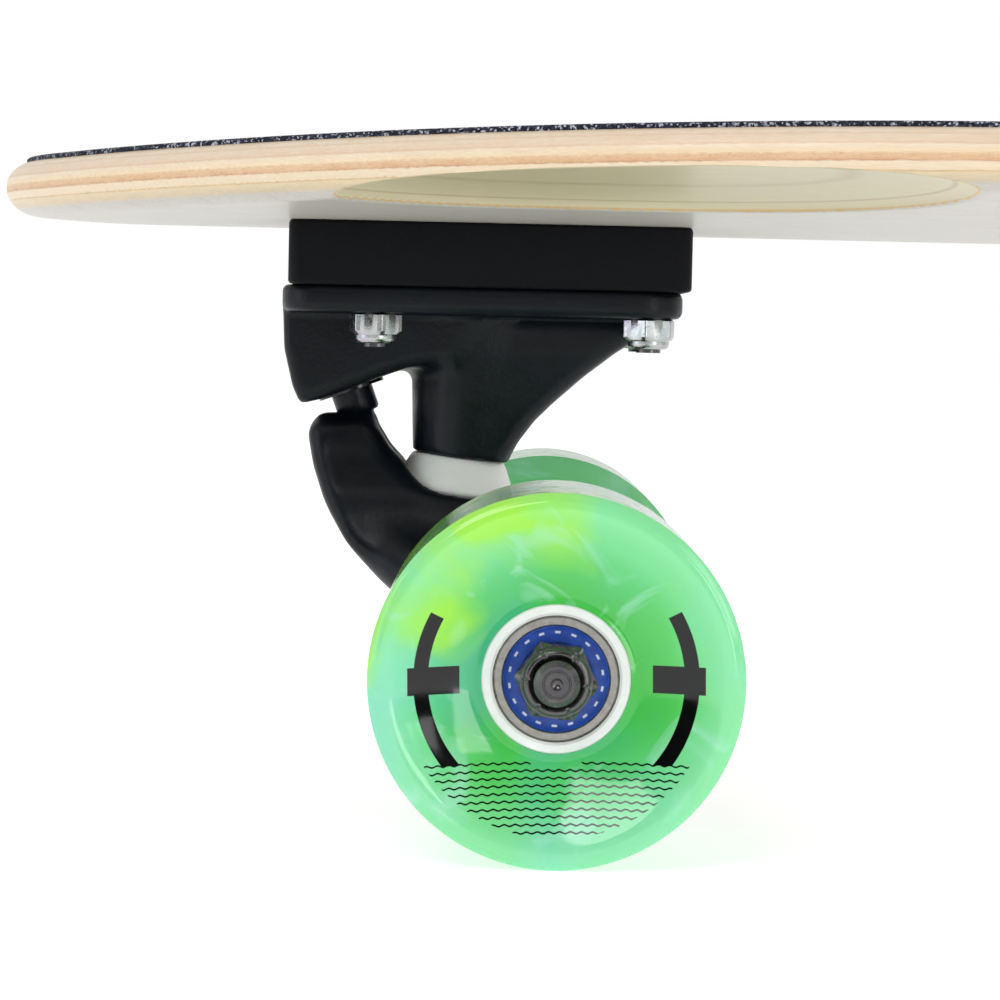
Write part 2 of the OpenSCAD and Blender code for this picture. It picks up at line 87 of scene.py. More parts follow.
class Shader:
    """A material's node tree, with short calls for the nodes used here."""

    def __init__(self, name, roughness=0.5, metallic=0.0, **sockets):
        self.mat = bpy.data.materials.new(name)
        self.mat.use_nodes = True
        self.tree = self.mat.node_tree
        self.bsdf = self.tree.nodes["Principled BSDF"]
        self.bsdf.inputs["Roughness"].default_value = roughness
        self.bsdf.inputs["Metallic"].default_value = metallic
        for socket, value in sockets.items():
            self.bsdf.inputs[socket.replace("_", " ")].default_value = value

    def node(self, kind, inputs=None, **props):
        made = self.tree.nodes.new(kind)
        for key, value in props.items():
            setattr(made, key, value)
        for key, value in (inputs or {}).items():
            self.put(made.inputs[key], value)
        return made

    def put(self, socket, value):
        if isinstance(value, bpy.types.NodeSocket):
            self.tree.links.new(value, socket)
        else:
            socket.default_value = value

    def color(self, value):
        self.put(self.bsdf.inputs["Base Color"], value)

    def rough(self, *span):
        self.put(self.bsdf.inputs["Roughness"], self.span(*span))

    def relief(self, *bump):
        self.put(self.bsdf.inputs["Normal"], self.bump(*bump))

    def place(self):
        return self.node("ShaderNodeTexCoord").outputs["Object"]

    def coords(self, scale=(1, 1, 1)):
        return self.node("ShaderNodeMapping", {"Vector": self.place(), "Scale": scale}).outputs[0]

    def axes(self, vector):
        return self.node("ShaderNodeSeparateXYZ", {"Vector": vector}).outputs

    def attribute(self, name):
        return self.node("ShaderNodeAttribute", attribute_name=name).outputs["Fac"]

    def math(self, operation, a, b=0.0):
        return self.node("ShaderNodeMath", {0: a, 1: b}, operation=operation).outputs[0]

    def times(self, a, b):
        return self.math("MULTIPLY", a, b)

    def plus(self, a, b):
        return self.math("ADD", a, b)

    def minus(self, a, b):
        return self.math("SUBTRACT", a, b)

    def radius(self, x, y):
        return self.math("SQRT", self.plus(self.times(x, x), self.times(y, y)))

    def vector(self, operation, inputs):
        return self.node("ShaderNodeVectorMath", inputs, operation=operation).outputs[0]

    def noise(self, vector, scale, detail=2.0, roughness=0.5, distortion=0.0):
        made = self.node("ShaderNodeTexNoise", {
            "Vector": vector, "Scale": scale, "Detail": detail,
            "Roughness": roughness, "Distortion": distortion,
        })
        return made.outputs["Fac"]

    def ramp(self, fac, stops):
        made = self.node("ShaderNodeValToRGB", {"Fac": fac})
        elements = made.color_ramp.elements
        while len(elements) < len(stops):
            elements.new(0.5)
        for element, (position, color) in zip(elements, stops):
            element.position = position
            element.color = linear(color)
        return made.outputs[0]

    def span(self, value, low, high, to_low=0.0, to_high=1.0):
        made = self.node("ShaderNodeMapRange", {
            "Value": value, "From Min": low, "From Max": high, "To Min": to_low, "To Max": to_high,
        })
        return made.outputs[0]

    def band(self, value, low, high, soft):
        """1 where value lies between low and high, with edges that fade over soft."""
        up = self.span(value, low - soft, low + soft)
        down = self.span(value, high - soft, high + soft, 1.0, 0.0)
        return self.times(up, down)

    def mix(self, fac, a, b, blend="MIX"):
        made = self.node("ShaderNodeMix", {"Factor": fac}, data_type="RGBA", blend_type=blend)
        for socket, color in ((6, a), (7, b)):
            self.put(made.inputs[socket], linear(color) if isinstance(color, str) else color)
        return made.outputs[2]

    def bump(self, height, distance, strength=1.0, normal=None):
        inputs = {"Height": height, "Distance": distance, "Strength": strength}
        if normal is not None:
            inputs["Normal"] = normal
        return self.node("ShaderNodeBump", inputs).outputs[0]


FLOOR_GLOW = 0.62


def floor_material():
    s = Shader("studio_floor", roughness=0.75, Specular_IOR_Level=0.2, Emission_Color=(1, 1, 1, 1),
               Emission_Strength=FLOOR_GLOW)
    mottled = s.noise(s.coords(), 3.0, 3)
    s.color(s.ramp(mottled, [(0.3, "d6d6d6"), (0.7, "dadada")]))
    return s.mat


def powder_coat():
    """Satin blue-black powder coat: orange peel, a little dust, and sharp convex edges lighter blue-grey in
    patches.
    """
    s = Shader("powder_coat", roughness=0.36, Specular_IOR_Level=0.22)
    where = s.coords()
    peel = s.noise(where, 1100, 2)
    grain = s.noise(where, 5200, 2)
    cloud = s.noise(where, 60, 4)
    base = s.ramp(cloud, [(0.3, "0a0e14"), (0.7, "11161e")])
    edges = s.node("ShaderNodeNewGeometry").outputs["Pointiness"]
    # Sharp convex edges turn lighter blue-grey where the clouds allow.
    pale_edges = s.times(s.span(edges, 0.54, 0.64), s.span(cloud, 0.4, 0.65))
    s.color(s.mix(s.times(pale_edges, 0.25), base, "464c54"))
    s.rough(s.noise(where, 240, 3), 0.3, 0.7, 0.3, 0.42)
    fine = s.bump(grain, 0.00003, 0.5)
    s.relief(peel, 0.00010, 0.5, fine)
    return s.mat


def plain_material(name, roughness, cloud, colors, grain, gloss=None, **sockets):
    """Close colours in soft clouds and a fine grain, with gloss that follows the clouds where it is given."""
    s = Shader(name, roughness=roughness, **sockets)
    where = s.coords()
    clouds = s.noise(where, *cloud)
    s.color(s.ramp(clouds, colors))
    if gloss is not None:
        s.rough(clouds, *gloss)
    scale, detail, distance, strength = grain
    s.relief(s.noise(where, scale, detail), distance, strength)
    return s.mat


def riser_rubber():
    colors = [(0.3, "090a0d"), (0.72, "101116")]
    return plain_material("riser_rubber", 0.6, (90, 4), colors, (2600, 3, 0.00008, 0.6),
                          (0.3, 0.7, 0.5, 0.66), Specular_IOR_Level=0.12)


def cup_urethane():
    colors = [(0.3, "070709"), (0.7, "0d0d10")]
    return plain_material("cup_urethane", 0.16, (300, 2), colors, (900, 2, 0.00005, 0.4))


def plated_steel():
    """Bright zinc: fine tumbled scratches and a faint warm and cool cast."""
    s = Shader("zinc_plated_steel", roughness=0.2, metallic=1.0)
    where = s.coords()
    cast = s.noise(where, 160, 3)
    s.color(s.ramp(cast, [
        (0.3, "a0acb2"), (0.55, "babcba"), (0.75, "b0a6bc"),
    ]))
    s.rough(s.noise(where, 1300, 4, 0.7), 0.3, 0.75, 0.12, 0.36)
    s.relief(s.noise(s.coords((1, 1, 6)), 1800, 3), 0.00005, 0.5)
    return s.mat


def black_steel():
    """Black oxide on steel, rubbed through in places."""
    colors = [(0.35, "5c5b5e"), (0.6, "6a6868"), (0.78, "a09b94")]
    return plain_material("black_oxide_steel", 0.3, (420, 5, 0.65), colors, (2400, 3, 0.00002, 0.4),
                          (0.3, 0.75, 0.24, 0.4), metallic=1.0)


def bearing_steel():
    colors = [(0.3, "96938e"), (0.75, "bab7b2")]
    return plain_material("bearing_steel", 0.32, (800, 4, 0.7), colors, (3200, 2, 0.00003, 0.6),
                          (0.3, 0.7, 0.26, 0.42), metallic=1.0)


def ivory_urethane():
    colors = [(0.3, "f6f7f6"), (0.7, "fcfcfb")]
    return plain_material("ivory_urethane", 0.32, (120, 3), colors, (700, 3, 0.00006, 0.4),
                          (0.3, 0.7, 0.28, 0.4), Subsurface_Weight=0.15, Subsurface_Scale=0.004)


def core_plastic():
    colors = [(0.3, "eef4f1"), (0.7, "f8faf7")]
    return plain_material("core_plastic", 0.36, (260, 4), colors, (1500, 3, 0.00006, 0.5))


SEAL_DASHES = 18
SEAL_RING = (7.95 * MM, 8.35 * MM)


def seal_rubber():
    """Blue seal with a ring of small plain dashes."""
    s = Shader("blue_seal", roughness=0.38)
    x, y, _ = s.axes(s.place())
    angle = s.times(s.math("ARCTAN2", y, x), SEAL_DASHES / (2 * math.pi))
    dash = s.band(s.math("FRACT", s.plus(angle, SEAL_DASHES)), 0.3, 0.62, 0.03)
    ring = s.band(s.radius(x, y), *SEAL_RING, 0.05 * MM)
    base = s.ramp(s.noise(s.coords(), 500, 3), [(0.3, "123c96"), (0.7, "1a4cb0")])
    s.color(s.mix(s.times(dash, ring), base, "d6deec"))
    s.relief(s.noise(s.coords(), 2600, 2), 0.00003, 0.6)
    return s.mat


# Printed marks on a wheel's outer face, in metres from the axle
PRINT_SOFT = 0.05 * MM
PRINT_ARC = (22.1 * MM, 24.6 * MM)
PRINT_ARC_TOP = 0.485
PRINT_BLOCK_X = (16.7 * MM, 25.6 * MM)
PRINT_BLOCK_Y = 2.4 * MM
PRINT_LINES = 10
PRINT_LINE_TOP = -14.6 * MM
PRINT_LINE_GAP = 1.26 * MM
PRINT_LINE_HALF = 0.15 * MM
PRINT_REACH = 27 * MM
PRINT_SPLIT = 4.4 * MM
PRINT_FACE_Z = 12 * MM
RIPPLE_LENGTH = 1.9 * MM
RIPPLE_HEIGHT = 0.14 * MM


def wheel_print(s, x, y, z):
    """Mask of the plain arcs, blocks and ripple lines printed on the outer face."""
    radius = s.radius(x, y)
    soft = PRINT_SOFT
    on_ring = s.band(radius, *PRINT_ARC, soft)
    below_top = s.span(s.math("DIVIDE", y, radius), PRINT_ARC_TOP, PRINT_ARC_TOP + 0.004, 1.0, 0.0)
    above_lines = s.span(y, PRINT_LINE_TOP - 2 * soft, PRINT_LINE_TOP)
    arcs = s.times(on_ring, s.times(below_top, above_lines))
    aside = s.math("ABSOLUTE", x)
    blocks = s.times(s.band(aside, *PRINT_BLOCK_X, soft), s.band(y, -PRINT_BLOCK_Y, PRINT_BLOCK_Y, soft))
    marks = s.math("MAXIMUM", s.math("MAXIMUM", arcs, blocks), ripple_lines(s, x, y, radius, aside))
    return s.times(marks, s.span(z, PRINT_FACE_Z - MM, PRINT_FACE_Z))


def ripple_lines(s, x, y, radius, aside):
    """Mask of the ripple lines, the first of them broken in the middle."""
    soft = PRINT_SOFT
    wave = s.times(s.math("SINE", s.times(x, 2 * math.pi / RIPPLE_LENGTH)), RIPPLE_HEIGHT)
    row = s.math("DIVIDE", s.minus(s.minus(y, wave), PRINT_LINE_TOP), PRINT_LINE_GAP)
    off_line = s.math("ABSOLUTE", s.minus(s.math("FRACT", s.plus(row, 0.5)), 0.5))
    thin, thick = ((PRINT_LINE_HALF + d) / PRINT_LINE_GAP for d in (-soft, soft))
    line = s.span(off_line, thin, thick, 1.0, 0.0)
    line = s.times(line, s.band(row, 0.5 - PRINT_LINES, 0.5, 0.02))
    line = s.times(line, s.span(radius, PRINT_REACH - soft, PRINT_REACH + soft, 1.0, 0.0))
    middle_part = s.span(aside, PRINT_SPLIT - soft, PRINT_SPLIT + soft, 1.0, 0.0)
    gap = s.times(s.span(row, -0.52, -0.48), middle_part)
    return s.times(line, s.minus(1.0, gap))


def spun_coords(s):
    """Coordinates that turn with each wheel, so that no two wheels show the same pour."""
    vector = s.node("ShaderNodeAttribute", attribute_name="spun").outputs["Vector"]
    return vector, s.axes(vector)


# Radii over which the painted shade near the hub fades out and the rim's painted light fades in
HUB_SHADE_FADE = (14 * MM, 25 * MM)
RIM_LIGHT_FADE = (21 * MM, 29 * MM)


def poured_colors(s, vector, x, y):
    """Soft folds of lime, green, mint and turquoise, darker green near the hub as painted shade and paler
    towards the rim as painted light.
    """
    warp = s.node("ShaderNodeTexNoise", {"Vector": vector, "Scale": 20.0}).outputs["Color"]
    bent = s.vector("SUBTRACT", {0: warp, 1: (0.5, 0.5, 0.5)})
    moved = s.vector("ADD", {0: vector, 1: s.vector("SCALE", {0: bent, "Scale": 0.06})})
    base = s.ramp(s.noise(moved, 17, 2, 0.45, 0.4), [
        (0.3, "68d0be"), (0.42, "70dca4"), (0.52, "6adc7c"),
        (0.62, "56d054"), (0.74, "60d63c"),
    ])
    # Darker, richer greens near the hub: painted shade of the concave dish.
    hub_shade = s.ramp(s.noise(moved, 34, 2, 0.5), [
        (0.38, "3cb27c"), (0.52, "3ebe48"), (0.66, "42be16"),
    ])
    radius = s.radius(x, y)
    base = s.mix(s.span(radius, *HUB_SHADE_FADE, 0.75, 0.0), base, hub_shade)
    # Paler towards the rim: painted light on the rounded lip.
    base = s.mix(s.span(radius, *RIM_LIGHT_FADE, 0.0, 0.4), base, "acf3ca")
    lean = s.times(s.minus(s.times(y, 0.45), x), 6.5)
    lime = s.plus(s.noise(moved, 26, 3, 0.5, 0.6), lean)
    base = s.mix(s.span(lime, 0.62, 0.78, 0.0, 0.85), base, "a8f03a")
    wisps = s.span(s.noise(moved, 70, 3, 0.55, 0.8), 0.58, 0.7, 0.0, 0.45)
    return s.mix(wisps, base, "b2f0d8")


def swirled_urethane():
    """Poured urethane with a clear gloss and the print on top."""
    s = Shader("swirled_urethane", roughness=0.09, Subsurface_Weight=0.06, Subsurface_Scale=0.004,
               Specular_IOR_Level=0.36, Coat_Weight=0.2, Coat_Roughness=0.04)
    vector, (x, y, z) = spun_coords(s)
    printed = wheel_print(s, x, y, z)
    s.color(s.mix(printed, poured_colors(s, vector, x, y), "060708"))
    s.rough(s.noise(vector, 300, 3), 0.3, 0.7, 0.07, 0.13)
    s.relief(s.plus(s.noise(vector, 260, 2), s.times(printed, 0.25)), 0.00006, 0.3)
    return s.mat


def ground_tread():
    """Lathe-cut running face: fine turning lines, faint scuffs, a little dust, and the pour's colours
    darkened as painted shade.
    """
    s = Shader("ground_tread", roughness=0.3)
    vector, (x, y, z) = spun_coords(s)
    dust = s.span(s.noise(vector, 150, 5, 0.7), 0.5, 0.8)
    # The pour's colours darkened all over: painted shade on the running face.
    color = s.mix(1.0, poured_colors(s, vector, x, y), "d8ded8", "MULTIPLY")
    s.color(s.mix(s.times(dust, 0.25), color, "b0c4b0"))
    turning = s.math("SINE", s.times(z, 2 * math.pi / (0.45 * MM)))
    s.rough(dust, 0, 1, 0.08, 0.3)
    s.relief(turning, 0.00001, 0.35, s.bump(s.noise(vector, 1500, 3), 0.00003, 0.4))
    return s.mat


def grip_grit():
    """Coarse grit on dark blue-grey backing; its palest grains are painted glints, and they are glossier than
    the rest.
    """
    s = Shader("grip_grit", roughness=0.85, Specular_IOR_Level=0.35)
    where = s.coords()
    grains = s.node("ShaderNodeTexVoronoi", {"Vector": where, "Scale": 2600.0})
    tone = s.node("ShaderNodeSeparateColor", {"Color": grains.outputs["Color"]}).outputs[0]
    # The palest grains are painted glints; the low roughness below also gives them real gloss.
    base = s.ramp(tone, [
        (0.0, "12131e"), (0.45, "202232"), (0.74, "3e4256"), (0.94, "c4c8d4"),
    ])
    patch = s.noise(where, 26, 4)
    base = s.mix(s.span(patch, 0.35, 0.7, 0.0, 0.35), base, "1a1d2a")
    s.color(base)
    s.rough(tone, 0.88, 0.94, 0.9, 0.35)
    s.relief(grains.outputs["Distance"], 0.0002, 0.9)
    return s.mat


def pressed_maple():
    """Seven plies on the rounded edge, long grain on the faces, and plies again inside the wheel wells, which
    are tinted olive and darker towards their bottom as painted shade.
    """
    s = Shader("pressed_maple", roughness=0.4, Coat_Weight=0.2, Coat_Roughness=0.25)
    depth = s.attribute("ply_depth")
    well = s.attribute("well_inside")
    along = s.noise(s.coords((6, 90, 90)), 22, 4, 0.6)
    streak = s.noise(s.coords((5, 260, 700)), 16, 4, 0.65)
    fibres = s.noise(s.coords((12, 120, 1100)), 14, 4, 0.6)
    cloud = s.noise(s.coords((9, 60, 160)), 5, 3, 0.55)
    wander = s.times(s.minus(along, 0.5), 0.06)
    level = s.plus(depth, wander)
    plies = s.ramp(level, [
        (0.0, "f0daba"), (0.13, "f6e2c8"), (0.15, "ecd0b0"),
        (0.18, "f4e0c6"), (0.28, "f0d8bc"), (0.31, "e6c8a8"),
        (0.34, "f6e4ca"), (0.45, "f4dcb6"), (0.48, "e6c49a"),
        (0.56, "dcb088"), (0.575, "c89670"), (0.6, "ecdabe"),
        (0.71, "e8d6b8"), (0.725, "d0ae7a"), (0.75, "deccaa"),
        (0.85, "d0bea0"),
    ])
    cross = s.noise(s.coords((150, 40, 420)), 8, 3, 0.6, 1.5)
    flecks = s.times(s.span(cross, 0.5, 0.66), s.band(level, 0.46, 0.575, 0.01))
    plies = s.mix(s.times(flecks, 0.5), plies, "c48c5c")
    plies = s.mix(s.span(cloud, 0.42, 0.62, 0.0, 0.35), plies, "eccca8")
    plies = s.mix(1.0, plies, s.span(fibres, 0.25, 0.75, 0.84, 1.08), "MULTIPLY")
    face = s.ramp(streak, [(0.25, "b0a69c"), (0.5, "c4beb8"), (0.75, "cecac6")])
    lines = s.span(s.noise(s.coords((3, 420, 20)), 9, 5, 0.7), 0.54, 0.64)
    face = s.mix(s.times(lines, 0.4), face, "968270")
    wood = s.mix(s.span(depth, 0.85, 0.9), plies, face)
    # Inside the wells: the olive tint, darker where the well is deepest, is painted shade; the ply lines and
    # the glue line at the border are the wood's own.
    hollow = s.mix(s.span(depth, 0.72, 0.9), "bcb08e", "cec0a0")
    hollow = s.mix(s.span(streak, 0.3, 0.75, 0.0, 0.4), hollow, "cec4ac")
    hollow = s.mix(s.times(s.band(depth, 0.852, 0.866, 0.005), 0.5), hollow, "a08058")
    hollow = s.mix(s.times(s.band(depth, 0.712, 0.726, 0.005), 0.35), hollow, "9c8864")
    hollow = s.mix(s.times(s.band(well, 0.0, 0.022, 0.006), 0.8), hollow, "cea468")
    wood = s.mix(s.span(well, -0.004, 0.004), wood, hollow)
    s.color(wood)
    s.rough(along, 0.3, 0.7, 0.34, 0.5)
    pores = s.noise(s.coords((30, 900, 900)), 9, 4, 0.6)
    s.relief(pores, 0.00008, 0.45)
    return s.mat


MATERIALS = {
    "wood": pressed_maple(), "grip": grip_grit(), "riser": riser_rubber(), "casting": powder_coat(),
    "cup": cup_urethane(), "zinc": plated_steel(), "black": black_steel(), "bearing": bearing_steel(),
    "ivory": ivory_urethane(), "core": core_plastic(), "seal": seal_rubber(),
    "urethane": swirled_urethane(), "tread": ground_tread(),
}


# ---------- mesh helpers ----------

def add_object(name, data):
    made = bpy.data.objects.new(name, data)
    bpy.context.scene.collection.objects.link(made)
    return made


def new_piece(name, verts, faces, materials, place=None):
    mesh = bpy.data.meshes.new(name)
    mesh.from_pydata([tuple(v) for v in verts], [], [tuple(f) for f in faces])
    mesh.validate()
    for key in materials:
        mesh.materials.append(MATERIALS[key])
    piece = add_object(name, mesh)
    if place is not None:
        piece.matrix_world = place
    mesh.polygons.foreach_set("use_smooth", [True] * len(mesh.polygons))
    return piece


def weld(piece):
    """Joins points that lie in one place, such as a lathe's ring on its own axis."""
    made = bmesh.new()
    made.from_mesh(piece.data)
    bmesh.ops.remove_doubles(made, verts=made.verts, dist=1e-7)
    made.to_mesh(piece.data)
    made.free()
    return piece


def sharpen(piece, degrees=32):
    """Keeps edges sharper than the angle crisp on a smooth-shaded piece."""
    made = bmesh.new()
    made.from_mesh(piece.data)
    for edge in made.edges:
        edge.smooth = not (edge.is_manifold and edge.calc_face_angle(0) > math.radians(degrees))
    made.to_mesh(piece.data)
    made.free()
    return piece


def ring_faces(rings, n, closed=False):
    """Quads between rings of n points each; closed joins the last ring to the first."""
    faces = []
    for j in range(rings if closed else rings - 1):
        a, b = j * n, ((j + 1) % rings) * n
        faces += [(a + i, a + (i + 1) % n, b + (i + 1) % n, b + i) for i in range(n)]
    return faces


def lathe(profile, segments, shape=None):
    """A closed solid of revolution about Z from (radius, height) points; shape may change a ring's points."""
    turn = np.linspace(0, 2 * math.pi, segments, endpoint=False)
    verts = []
    for r, h in profile:
        radii, heights = np.full(segments, float(r)), np.full(segments, float(h))
        if shape is not None:
            radii, heights = shape(radii, heights, turn)
        verts += list(zip(radii * np.cos(turn), radii * np.sin(turn), heights))
    return verts, ring_faces(len(profile), segments, closed=True)


def arc(center, radius, start, end, steps):
    """Points on an arc in a profile, angles in degrees from the radius axis towards the height axis."""
    angles = np.radians(np.linspace(start, end, steps))
    return [(center[0] + radius * math.cos(a), center[1] + radius * math.sin(a)) for a in angles]


def curve(points, per_span=10):
    """A smooth curve through profile points."""
    pts = [np.array(p, float) for p in points]
    pts = [2 * pts[0] - pts[1]] + pts + [2 * pts[-1] - pts[-2]]
    out = []
    for i in range(1, len(pts) - 2):
        a, b, c, d = pts[i - 1:i + 3]
        for t in np.linspace(0, 1, per_span, endpoint=False):
            out.append(tuple(0.5 * (2 * b + (c - a) * t + (2 * a - 5 * b + 4 * c - d) * t * t
                                    + (3 * b - a - 3 * c + d) * t ** 3)))
    return out + [tuple(pts[-2])]


def in_mm(points):
    return [(r * MM, h * MM) for r, h in points]


def join_meshes(parts):
    """One list of vertices and faces from several (verts, faces, matrix)."""
    verts, faces = [], []
    for part_verts, part_faces, matrix in parts:
        base = len(verts)
        verts += [tuple(matrix @ Vector(v)) for v in part_verts]
        faces += [tuple(base + i for i in f) for f in part_faces]
    return verts, faces


def finish_piece(piece, body, node):
    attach(piece, body)
    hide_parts(node)


# ---------- deck and grip tape ----------

DECK_LO, DECK_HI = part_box("deck")
DECK_W = DECK_HI.y - DECK_LO.y
DECK_Z = top("front_riser_pad")
DECK_T = 0.011
DECK_TOP = DECK_Z + DECK_T
# Lengths of the nose's and the tail's curves, and the powers of their superellipses
NOSE_L, TAIL_L = 0.190, 0.290
NOSE_N, TAIL_N = 1.7, 2.6
# The rails' rise beside the flat middle, which the tail takes part of away
CONCAVE = 0.0044
FLAT_Y = 0.028
TAIL_FLATTENING = 0.35
TAIL_FLATTENING_L = 0.1
KICK_ANGLE = math.radians(14)
KICK_X = AXLE["rear"].x + 0.065
KICK_BLEND = 0.060
# Rings of points grow from a rounded middle with these half sizes, about this stretch of the centreline
SPINE = (AXLE["front"].x - 0.031, AXLE["rear"].x + 0.028)
MIDDLE = (0.017, 0.0275)
FLAT_STEPS = 14
# Points along the nose, the rails and the tail
DECK_POINTS = (150, 170, 180)
TAPE_POINTS = (110, 120, 150)
# Width and height of the elliptical edge, above and below
TOP_ROUND = (0.0062, 0.0050)
LOW_ROUND = (0.0070, 0.0056)
EDGE_STEPS = 13
WELL_DEPTH = 0.0038
WELL_HALF = (0.0633, 0.042)
WELL_Y = 0.112
WELL_IN = 0.0065
# How far in the wells reach on the rings, and the number of rings from the edge to there
WELL_SHARE = 0.36
WELL_STEPS = 100
BOLT_X = 0.05398 / 2
BOLT_Y = 0.04128 / 2
BOLT_HEAD_R = 0.0048
BOLT_HOLE_R = 0.0027
COUNTERSINK = 0.0028
TAPE_T = 0.0009
TAPE_GAP = 0.00002
TAPE_EDGE_R = 0.00025
TAPE_INSET = 0.004


def ease(t):
    t = np.clip(t, 0, 1)
    return t * t * (3 - 2 * t)


def sheet_height(x, y):
    """Height of the bent sheet above its flat middle."""
    tail = 1 - TAIL_FLATTENING * ease((x - KICK_X) / TAIL_FLATTENING_L)
    side = np.clip(np.abs(y) - FLAT_Y, 0, None) / (DECK_W / 2 - FLAT_Y)
    d = np.clip(x - KICK_X, 0, None)
    rise = np.where(d < KICK_BLEND, d * d / (2 * KICK_BLEND), d - KICK_BLEND / 2)
    return CONCAVE * tail * side ** 1.5 + math.tan(KICK_ANGLE) * rise


def well_inside(x, y):
    """1 in the middle of each scooped wheel well, 0 on its border and negative outside."""
    lengthwise = np.minimum(*(np.abs(x - AXLE[end].x + OUT_X[end] * WELL_IN) for end in ENDS)) / WELL_HALF[0]
    return 1 - lengthwise ** 2.6 - ((np.abs(y) - WELL_Y) / WELL_HALF[1]) ** 2


def deck_outline(nose_steps, side_steps, tail_steps):
    nose = np.radians(np.linspace(0, 90, nose_steps))
    tail = np.radians(np.linspace(90, 0, tail_steps))[1:]
    nose_x, tail_x = DECK_LO.x + NOSE_L, DECK_HI.x - TAIL_L
    x = np.concatenate([
        nose_x - NOSE_L * np.cos(nose) ** (2 / NOSE_N),
        np.linspace(nose_x, tail_x, side_steps + 1)[1:],
        tail_x + TAIL_L * np.abs(np.cos(tail)) ** (2 / TAIL_N),
    ])
    y = DECK_W / 2 * np.concatenate([
        np.sin(nose) ** (2 / NOSE_N), np.ones(side_steps), np.sin(tail) ** (2 / TAIL_N),
    ])
    return np.concatenate([x, x[-2:0:-1]]), np.concatenate([y, -y[-2:0:-1]])


def deck_rings(steps, outline, base_z, scooped):
    """Rings of points, with their places in a well, for steps of (share, inset, height).

    The share is of the way from the flat middle out to the outline, less the inset.
    """
    px, py = outline
    fx = np.clip(px, *SPINE)
    length = np.hypot(px - fx, py)
    start = (np.abs((px - fx) / length / MIDDLE[0]) ** 4 + np.abs(py / length / MIDDLE[1]) ** 4) ** -0.25
    rows = []
    for share, inset, dz in steps:
        k = (start + share * (length - inset - start)) / length
        x, y = fx + (px - fx) * k, py * k
        inside = well_inside(x, y) if scooped else np.full_like(x, -1)
        height = np.maximum(WELL_DEPTH * np.sqrt(np.maximum(inside, 0)), dz) if scooped else dz
        rows.append((x, y, base_z + height + sheet_height(x, y), inside - (dz / WELL_DEPTH) ** 2))
    return rows


def bolt_places():
    places = []
    for end in ENDS:
        center = middle(f"{end}_mounting_bolts").x
        places += [(center + sx * BOLT_X, sy * BOLT_Y) for sx in (-1, 1) for sy in (-1, 1)]
    return places


def capped_holes(made, outer, holes, up):
    """Fills between a loop of vertices and hole loops, all in one plane."""
    edges = []
    for loop in [outer] + holes:
        for i, v in enumerate(loop):
            other = loop[(i + 1) % len(loop)]
            edges.append(made.edges.get((v, other)) or made.edges.new((v, other)))
    filled = bmesh.ops.triangle_fill(made, use_beauty=True, use_dissolve=False, edges=edges)
    faces = [f for f in filled["geom"] if isinstance(f, bmesh.types.BMFace)]
    for face in faces:
        if (face.normal.z > 0) != up:
            face.normal_flip()


def bridge(made, a, b):
    """Quads between two loops of vertices."""
    for i in range(len(a)):
        k = (i + 1) % len(a)
        made.faces.new((a[i], b[i], b[k], a[k]))


def sheet_rings(made, rows, depth, well):
    """The sheet's rings, whose vertices note their depth in the wood and their place in a well."""
    rings = []
    for x, y, z, hollow in rows:
        wood = (DECK_TOP + sheet_height(x, y) - z) / DECK_T
        ring = []
        for point in zip(x, y, z, wood, hollow):
            v = made.verts.new(point[:3])
            v[depth], v[well] = point[3:]
            ring.append(v)
        rings.append(ring)
    for a, b in zip(rings, rings[1:]):
        bridge(made, a, b)
    return rings


def bolt_hole(made, place, steps, depth):
    """A hole's first and last loop of vertices, with its wall between them."""
    loops = []
    for r, z in steps:
        turn = np.linspace(0, 2 * math.pi, 40, endpoint=False)
        loop = [made.verts.new((place[0] + r * math.cos(t), place[1] + r * math.sin(t), z)) for t in turn]
        for v in loop:
            v[depth] = (DECK_TOP - z) / DECK_T
        loops.append(loop)
    for a, b in zip(loops, loops[1:]):
        bridge(made, b, a)
    return loops[0], loops[-1]


def sheet_piece(name, rows, hole_steps, material):
    """A closed sheet from its rings, first and last flat, with bolt holes given as (radius, height) steps."""
    made = bmesh.new()
    depth = made.verts.layers.float.new("ply_depth")
    well = made.verts.layers.float.new("well_inside")
    rings = sheet_rings(made, rows, depth, well)
    holes = [bolt_hole(made, place, hole_steps, depth) for place in bolt_places()]
    capped_holes(made, rings[0], [first for first, last in holes], True)
    capped_holes(made, rings[-1], [last for first, last in holes], False)
    bmesh.ops.recalc_face_normals(made, faces=made.faces)
    for face in made.faces:
        face.smooth = True
    for edge in made.edges:
        edge.smooth = edge.calc_face_angle(0) < math.radians(35)
    mesh = bpy.data.meshes.new(name)
    made.to_mesh(mesh)
    made.free()
    mesh.materials.append(MATERIALS[material])
    return add_object(name, mesh)


def build_deck():
    """From the flat top out and round the edge, then in over the wells to the flat bottom."""
    outline = deck_outline(*DECK_POINTS)
    quarter = np.radians(np.linspace(0, 90, EDGE_STEPS))
    (across, down), (low_across, up) = TOP_ROUND, LOW_ROUND
    upper = [(t, across + 0.0002, 0) for t in np.linspace(0, 1, FLAT_STEPS)]
    upper += [(1, across * (1 - math.sin(a)), -down * (1 - math.cos(a))) for a in quarter]
    lower = [(1, low_across * (1 - math.cos(a)), up * (1 - math.sin(a))) for a in quarter]
    shares = [*np.linspace(1, WELL_SHARE, WELL_STEPS), *np.linspace(WELL_SHARE, 0, 6)[1:]]
    lower += [(t, low_across + 0.0004, 0) for t in shares]
    rows = deck_rings(upper, outline, DECK_TOP, False) + deck_rings(lower, outline, DECK_Z, True)
    hole = [
        (BOLT_HEAD_R + 0.0004, DECK_TOP), (BOLT_HOLE_R, DECK_TOP - COUNTERSINK), (BOLT_HOLE_R, DECK_Z),
    ]
    finish_piece(sheet_piece("deck_plies", rows, hole, "wood"), "board", "deck")


